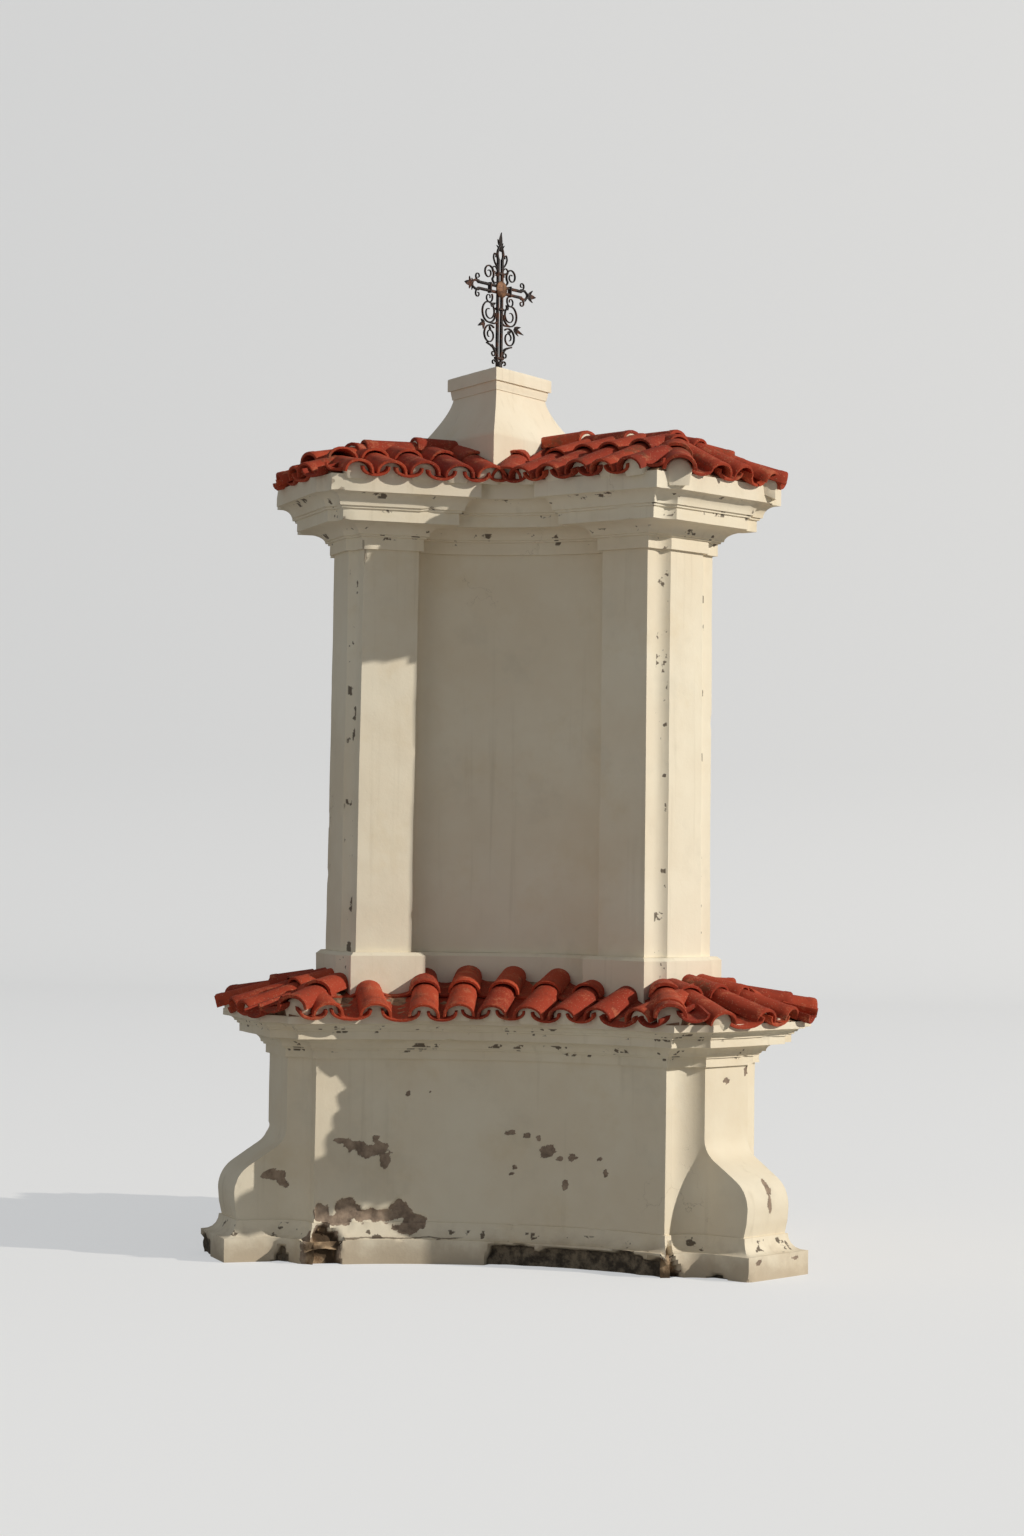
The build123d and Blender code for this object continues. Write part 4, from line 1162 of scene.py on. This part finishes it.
def build_cap():
    foot_z, sweep_z, neck_z, mould_z = UPPER_TOP + 0.04, 3.452, 3.660, 3.698
    neck, slab = 0.231, 0.262
    block = [(CAP_RADIUS, z) for z in levels(foot_z, sweep_z, 0.03, 0.01)]
    for k in range(1, 15):
        share = k / 14
        radius = neck + (CAP_RADIUS - neck) * (1 - share) ** 1.45
        block.append((radius, sweep_z + share * (neck_z - sweep_z)))
    swells = ((0.0075, 0), (0.0075, 0.006), (0.010, 0.014), (0.013, 0.024))
    moulding = [(neck + swell, neck_z + rise) for swell, rise in swells] + [(neck + 0.015, mould_z)]
    plate = [(slab, z) for z in levels(mould_z, CAP_TOP - 0.003, 0.015, 0.006)] + [(slab - 0.004, CAP_TOP)]
    parts = (("block", block, 0.008), ("moulding", moulding, 0.006), ("slab", plate, 0.007))
    for name, members, chips in parts:
        rows = [cap_outline(radius, z) for radius, z in members]
        skin(f"cap_{name}_worn", rows, [f"cap_{name}"], chips, ring=True)


build_cap()


# Wrought-iron cross, drawn in its own plane: x along the arms, y up from the slab

CROSS_WAY = radians(62)
CROSS_X = Vector((cos(CROSS_WAY), sin(CROSS_WAY), 0.0))
CROSS_FACE = Vector((sin(CROSS_WAY), -cos(CROSS_WAY), 0.0))
CROSS_FOOT = Vector((CAP_X, CAP_Y, CAP_TOP))
ARM_Y, ARM_REACH, STEM_TOP = 0.373, 0.178, 0.535
# Half the distance between the two bars of a pair
PAIR = 0.0135


def on_cross(x, y, forward=0.0):
    return CROSS_FOOT + CROSS_X * x + Vector((0, 0, y)) + CROSS_FACE * forward


def between(a, b, c, d, t):
    """Value a share t of the way from b to c, on a flowing line through four values."""
    bend, twist = 2 * a - 5 * b + 4 * c - d, 3 * b - a - 3 * c + d
    return 0.5 * (2 * b + (c - a) * t + bend * t * t + twist * t ** 3)


def smooth_line(points, steps=5):
    """Flowing line through points given in the cross's plane."""
    line = []
    guides = [tuple(2 * a - b for a, b in zip(points[0], points[1]))] + list(points)
    guides.append(tuple(2 * a - b for a, b in zip(points[-1], points[-2])))
    for k in range(1, len(guides) - 2):
        corners = list(zip(*guides[k - 1:k + 3]))
        line += [tuple(between(*values, m / steps) for values in corners) for m in range(steps)]
    return line + [points[-1]]


def straight(x0, y0, x1, y1, count):
    return [(x0 + (x1 - x0) * k / count, y0 + (y1 - y0) * k / count) for k in range(count + 1)]


def coil(x, y, outer, inner, start, sweep, steps):
    """Spiral line round a point, from its outer to its inner radius."""
    shares = [k / steps for k in range(steps + 1)]
    return [on_arc((x, y), outer + (inner - outer) * s, radians(start + sweep * s)) for s in shares]


# Corners of a bar's section with its edges softened, in half widths and half depths
BAR_CORNERS = [(1, 0.6), (0.6, 1), (-0.6, 1), (-1, 0.6), (-1, -0.6), (-0.6, -1), (0.6, -1), (1, -0.6)]


class Forge(Batch):
    """Bars and leaves of the cross."""

    def bar(self, line, width, depth, taper=(1.0, 1.0)):
        """Flat bar with softened edges along a line; taper is its width at both ends."""
        count, start = len(line), len(self.verts)
        for k, (x, y) in enumerate(line):
            x0, y0 = line[max(0, k - 1)]
            x1, y1 = line[min(count - 1, k + 1)]
            reach = max(hypot(x1 - x0, y1 - y0), 1e-9)
            side = (-(y1 - y0) / reach, (x1 - x0) / reach)
            size = taper[0] + (taper[1] - taper[0]) * k / (count - 1)
            half, deep = width / 2 * size, depth / 2 * (0.5 + 0.5 * size)
            nick = rough_at((x, y, 0.3), (0.0006, 90.0))
            for a, b in BAR_CORNERS:
                out = half * a + nick
                self.verts.append(on_cross(x + side[0] * out, y + side[1] * out, deep * b))
        wide = len(BAR_CORNERS)
        self.faces += wrapped(start, count, wide) + ends(start, count, wide)

    def leaf(self, x, y, turn, length, width, curl=0.006):
        """Hammered leaf: pointed, ribbed along its middle and curling out of the plane."""
        start, steps = len(self.verts), 8
        way = (cos(radians(turn)), sin(radians(turn)))
        side = (-way[1], way[0])
        for layer in (0.0015, -0.0015):
            for k in range(steps + 1):
                share = k / steps
                swell = sin(pi * min(1.0, 0.12 + 0.88 * share) ** 0.8) ** 0.9 if k < steps else 0.06
                half = width / 2 * swell
                for a, rib in ((-1, 0.0), (-0.5, 0.0016), (0, -0.001), (0.5, 0.0016), (1, 0.0)):
                    along, aside = length * share, half * a
                    spot = (x + way[0] * along + side[0] * aside, y + way[1] * along + side[1] * aside)
                    self.verts.append(on_cross(*spot, layer + rib + curl * share * share))
        shift = 5 * (steps + 1)
        for k in range(steps):
            for a in range(start + 5 * k, start + 5 * k + 4):
                self.faces.append((a, a + 5, a + 6, a + 1))
                self.faces.append((a + shift, a + 1 + shift, a + 6 + shift, a + 5 + shift))
            a, b = start + 5 * k, start + 5 * k + 4
            self.faces += [(a, a + shift, a + 5 + shift, a + 5), (b, b + 5, b + 5 + shift, b + shift)]
        for a in range(start, start + 4):
            b = a + 5 * steps
            self.faces += [(a, a + 1, a + 1 + shift, a + shift), (b, b + shift, b + 1 + shift, b + 1)]

    def finish(self, name, nodes):
        new_piece(name, self.verts, self.faces, IRON, nodes, 55)


def forge_frame():
    """Foot, twin-bar stem and twin-bar arms with their cross-pieces."""
    bars = Forge()
    bars.bar(straight(0, 0, 0, 0.058, 5), 0.026, 0.026)
    for side in (-1, 1):
        stem = smooth_line([(side * 0.004, 0.046), (side * 0.013, 0.062), (side * PAIR, 0.085)], 4)
        bars.bar(stem + straight(side * PAIR, 0.10, side * PAIR, STEM_TOP - 0.03, 26), 0.013, 0.013)
        head = [(PAIR, -0.035), (0.020, -0.012), (0.014, 0.012), (0.0, 0.028)]
        head = smooth_line([(side * x, STEM_TOP + y) for x, y in head])
        bars.bar(head, 0.012, 0.012, (1.0, 0.6))
        for level in (-1, 1):
            y = ARM_Y + level * PAIR
            tip = [(-0.035, PAIR), (-0.014, 0.019), (0.006, 0.011), (0.020, 0.0)]
            tip = smooth_line([(side * (ARM_REACH + x), ARM_Y + level * rise) for x, rise in tip])
            bars.bar(straight(side * 0.015, y, side * (ARM_REACH - 0.03), y, 10), 0.012, 0.012)
            bars.bar(tip, 0.011, 0.011, (1.0, 0.6))
        bars.bar(straight(side * 0.068, ARM_Y - 0.023, side * 0.068, ARM_Y + 0.023, 3), 0.010, 0.019)
    for y in (0.075, 0.288, 0.442):
        bars.bar(straight(-0.023, y, 0.023, y, 4), 0.011, 0.019)
    bars.finish("cross_frame", ["cross_foot", "cross_stem", "cross_arm_left", "cross_arm_right"])


# Scrolls on one side of the cross: heavy or light bar, widths at both ends, and the line
HEAVY, LIGHT = (0.0068, 0.010), (0.006, 0.009)
SCROLLS = [
    # lower scrolls: the big ring and the spiral in it, the small one, and what ties them to the stem
    (HEAVY, (0.8, 1.0), coil(0.072, 0.268, 0.045, 0.045, 60, -240, 18)),
    (HEAVY, (0.9, 0.5), coil(0.072, 0.268, 0.045, 0.012, 60, 400, 30)),
    (HEAVY, (1.0, 0.5), coil(0.066, 0.170, 0.044, 0.010, 130, -560, 40)),
    (HEAVY, (1.0, 1.0), smooth_line([(0.021, 0.228), (0.034, 0.222), (0.055, 0.222), (0.072, 0.223)])),
    (HEAVY, (1.0, 1.0), smooth_line([(0.085, 0.134), (0.060, 0.126), (0.040, 0.116), (0.026, 0.096)])),
    # curls at the foot
    (LIGHT, (1.0, 0.6), coil(0.040, 0.094, 0.016, 0.005, 150, 330, 16)),
    (LIGHT, (1.0, 0.6), coil(0.036, 0.054, 0.013, 0.004, 170, -300, 14)),
    # in the upper angles
    (HEAVY, (1.0, 0.5), coil(0.078, 0.438, 0.036, 0.008, 215, -520, 36)),
    (LIGHT, (1.0, 0.5), coil(0.040, 0.452, 0.024, 0.006, 240, -400, 26)),
    (HEAVY, (1.0, 1.0), smooth_line([(0.022, 0.402), (0.040, 0.398), (0.052, 0.410), (0.050, 0.418)])),
    # under the arms, and beside the stem's head
    (LIGHT, (1.0, 0.5), coil(0.074, 0.330, 0.026, 0.007, 140, 420, 28)),
    (LIGHT, (1.0, 0.5), smooth_line([(0.020, 0.470), (0.036, 0.486), (0.046, 0.508), (0.040, 0.526),
                                     (0.030, 0.520), (0.032, 0.510)])),
    # at the ends of the arms
    (LIGHT, (1.0, 0.5), coil(0.150, ARM_Y - 0.038, 0.018, 0.005, 110, -400, 24)),
    (LIGHT, (1.0, 0.5), coil(0.150, ARM_Y + 0.038, 0.018, 0.005, -110, 400, 24)),
]


def forge_scrolls():
    scrolls = Forge()
    for side in (-1, 1):
        for size, taper, line in SCROLLS:
            scrolls.bar([(side * x, y) for x, y in line], *size, taper)
    nodes = [f"cross_scroll_{level}_{side}" for level in ("lower", "upper") for side in ("left", "right")]
    scrolls.finish("cross_scrolls", nodes)


# Leaves at the stem's head: rise, turn, length, width and curl
HEAD_LEAVES = [(0.020, 92, 0.066, 0.024, 0.006), (0.030, 148, 0.040, 0.015, 0.012),
               (0.022, 40, 0.036, 0.014, -0.010), (0.006, 122, 0.030, 0.013, -0.010),
               (0.004, 60, 0.030, 0.013, 0.010)]


def forge_leaves():
    """Sprays at three ends of the cross and leaves on its scrolls."""
    leaves = Forge()
    for side, turn in ((-1, 180), (1, 0)):
        tip = side * (ARM_REACH + 0.018)
        leaves.leaf(tip, ARM_Y, turn, 0.048, 0.022, 0.004)
        for lean in (-52, 52):
            leaves.leaf(tip, ARM_Y, turn + lean, 0.034, 0.014, 0.008)
            leaves.leaf(tip - side * 0.010, ARM_Y, turn + 1.9 * lean, 0.026, 0.012, -0.008)
        for lean, length in ((0, 0.058), (38, 0.036), (-38, 0.036)):
            spray = (-22 if side > 0 else 202) + lean
            leaves.leaf(side * 0.102, 0.218, spray, length, 0.015, 0.008)
        leaves.leaf(side * 0.060, 0.296, 90 + 60 * side, 0.030, 0.018)
        leaves.leaf(side * 0.058, 0.190, 90 - 50 * side, 0.026, 0.016)
        leaves.leaf(side * 0.028, 0.112, 90 - 58 * side, 0.034, 0.010)
    for rise, *shape in HEAD_LEAVES:
        leaves.leaf(0.0, STEM_TOP + rise, *shape)
    leaves.finish("cross_leaves", ["cross_tip_top", "cross_tip_left", "cross_tip_right"])


def forge_boss():
    """Round boss: a low dome with a rim, on the side that faces the front."""
    seat, turns = 0.0065, 32
    profile = [(0.034, 0.0), (0.036, 0.002), (0.036, 0.005), (0.033, 0.008), (0.026, 0.0105), (0.014, 0.013)]
    verts = []
    for radius, rise in profile:
        spots = [on_arc((0.0, ARM_Y), radius, 2 * pi * k / turns) for k in range(turns)]
        verts += [on_cross(x, y, seat + rise) for x, y in spots]
    last = len(verts) - turns
    faces = wrapped(0, len(profile), turns)
    faces += [(last + k, last + (k + 1) % turns, len(verts)) for k in range(turns)]
    faces.append(tuple(range(turns))[::-1])
    verts.append(on_cross(0.0, ARM_Y, seat + 0.014))
    new_piece("cross_boss", verts, faces, BRONZE, ["cross_disc"], 40)


forge_frame()
forge_scrolls()
forge_leaves()
forge_boss()


# Floor, light and camera

def build_stage():
    """Pale floor with a seamless backdrop; to the camera it looks a little brighter than it lights."""
    reach, bend, back, top = 40.0, 3.0, 26.0, 30.0
    line = [(-reach, 0.0), (back, 0.0)]
    line += [(back + bend * sin(pi / 2 * k / 12), bend - bend * cos(pi / 2 * k / 12)) for k in range(1, 13)]
    line.append((back + bend, top))
    verts = [(x, y, z) for y, z in line for x in (-reach, reach)]
    faces = [(2 * k, 2 * k + 1, 2 * k + 3, 2 * k + 2) for k in range(len(line) - 1)]
    mesh = bpy.data.meshes.new("floor")
    mesh.from_pydata(verts, [], faces)
    mesh.polygons.foreach_set("use_smooth", [True] * len(faces))
    floor = bpy.data.objects.new("floor", mesh)
    bpy.context.collection.objects.link(floor)
    material = bpy.data.materials.new("floor_paper")
    material.use_nodes = True
    tree = material.node_tree
    shader = tree.nodes["Principled BSDF"]
    shader.inputs["Base Color"].default_value = linear(168, 166, 162)
    shader.inputs["Roughness"].default_value = 0.9
    shader.inputs["Emission Color"].default_value = linear(236, 238, 240)
    seen = put(tree, "LightPath", out="Is Camera Ray")
    tree.links.new(times(tree, seen, 0.55), shader.inputs["Emission Strength"])
    mesh.materials.append(material)


def add_light(name, place, aim, size, watts, color):
    """Soft square lamp that looks at a point."""
    lamp = bpy.data.lights.new(name, "AREA")
    lamp.size = size
    lamp.energy = watts
    lamp.color = color
    holder = bpy.data.objects.new(name, lamp)
    holder.location = place
    holder.rotation_euler = (Vector(aim) - Vector(place)).to_track_quat("-Z", "Y").to_euler()
    bpy.context.collection.objects.link(holder)


def build_light():
    world = bpy.data.worlds.new("studio")
    world.use_nodes = True
    sky = world.node_tree.nodes["Background"]
    sky.inputs["Color"].default_value = (0.86, 0.92, 1.0, 1.0)
    sky.inputs["Strength"].default_value = 0.26
    bpy.context.scene.world = world
    # The key stands far off, so that its light falls nearly parallel
    add_light("key", (67.4, -8.3, 33.9), (0, 0, 2.0), 1.0, 52000, (1.0, 0.95, 0.875))
    add_light("fill", (-6.0, -11.0, 3.0), (0, 0, 1.8), 6.0, 85, (1.0, 0.97, 0.93))


def build_camera():
    """Camera at eye height, turned from looking straight down to looking at the shrine."""
    lens = bpy.data.cameras.new("camera")
    lens.lens = 75.6
    lens.sensor_width = 36.0
    lens.sensor_fit = "AUTO"
    holder = bpy.data.objects.new("camera", lens)
    turn = Matrix.Rotation(radians(10.83), 4, "Z") @ Matrix.Rotation(radians(91.69), 4, "X")
    turn = turn @ Matrix.Rotation(radians(0.81), 4, "Z")
    holder.matrix_world = Matrix.Translation((2.541, -13.651, 1.65)) @ turn
    bpy.context.collection.objects.link(holder)
    bpy.context.scene.camera = holder


build_stage()
build_light()
build_camera()
bpy.context.scene.view_settings.view_transform = "Standard"
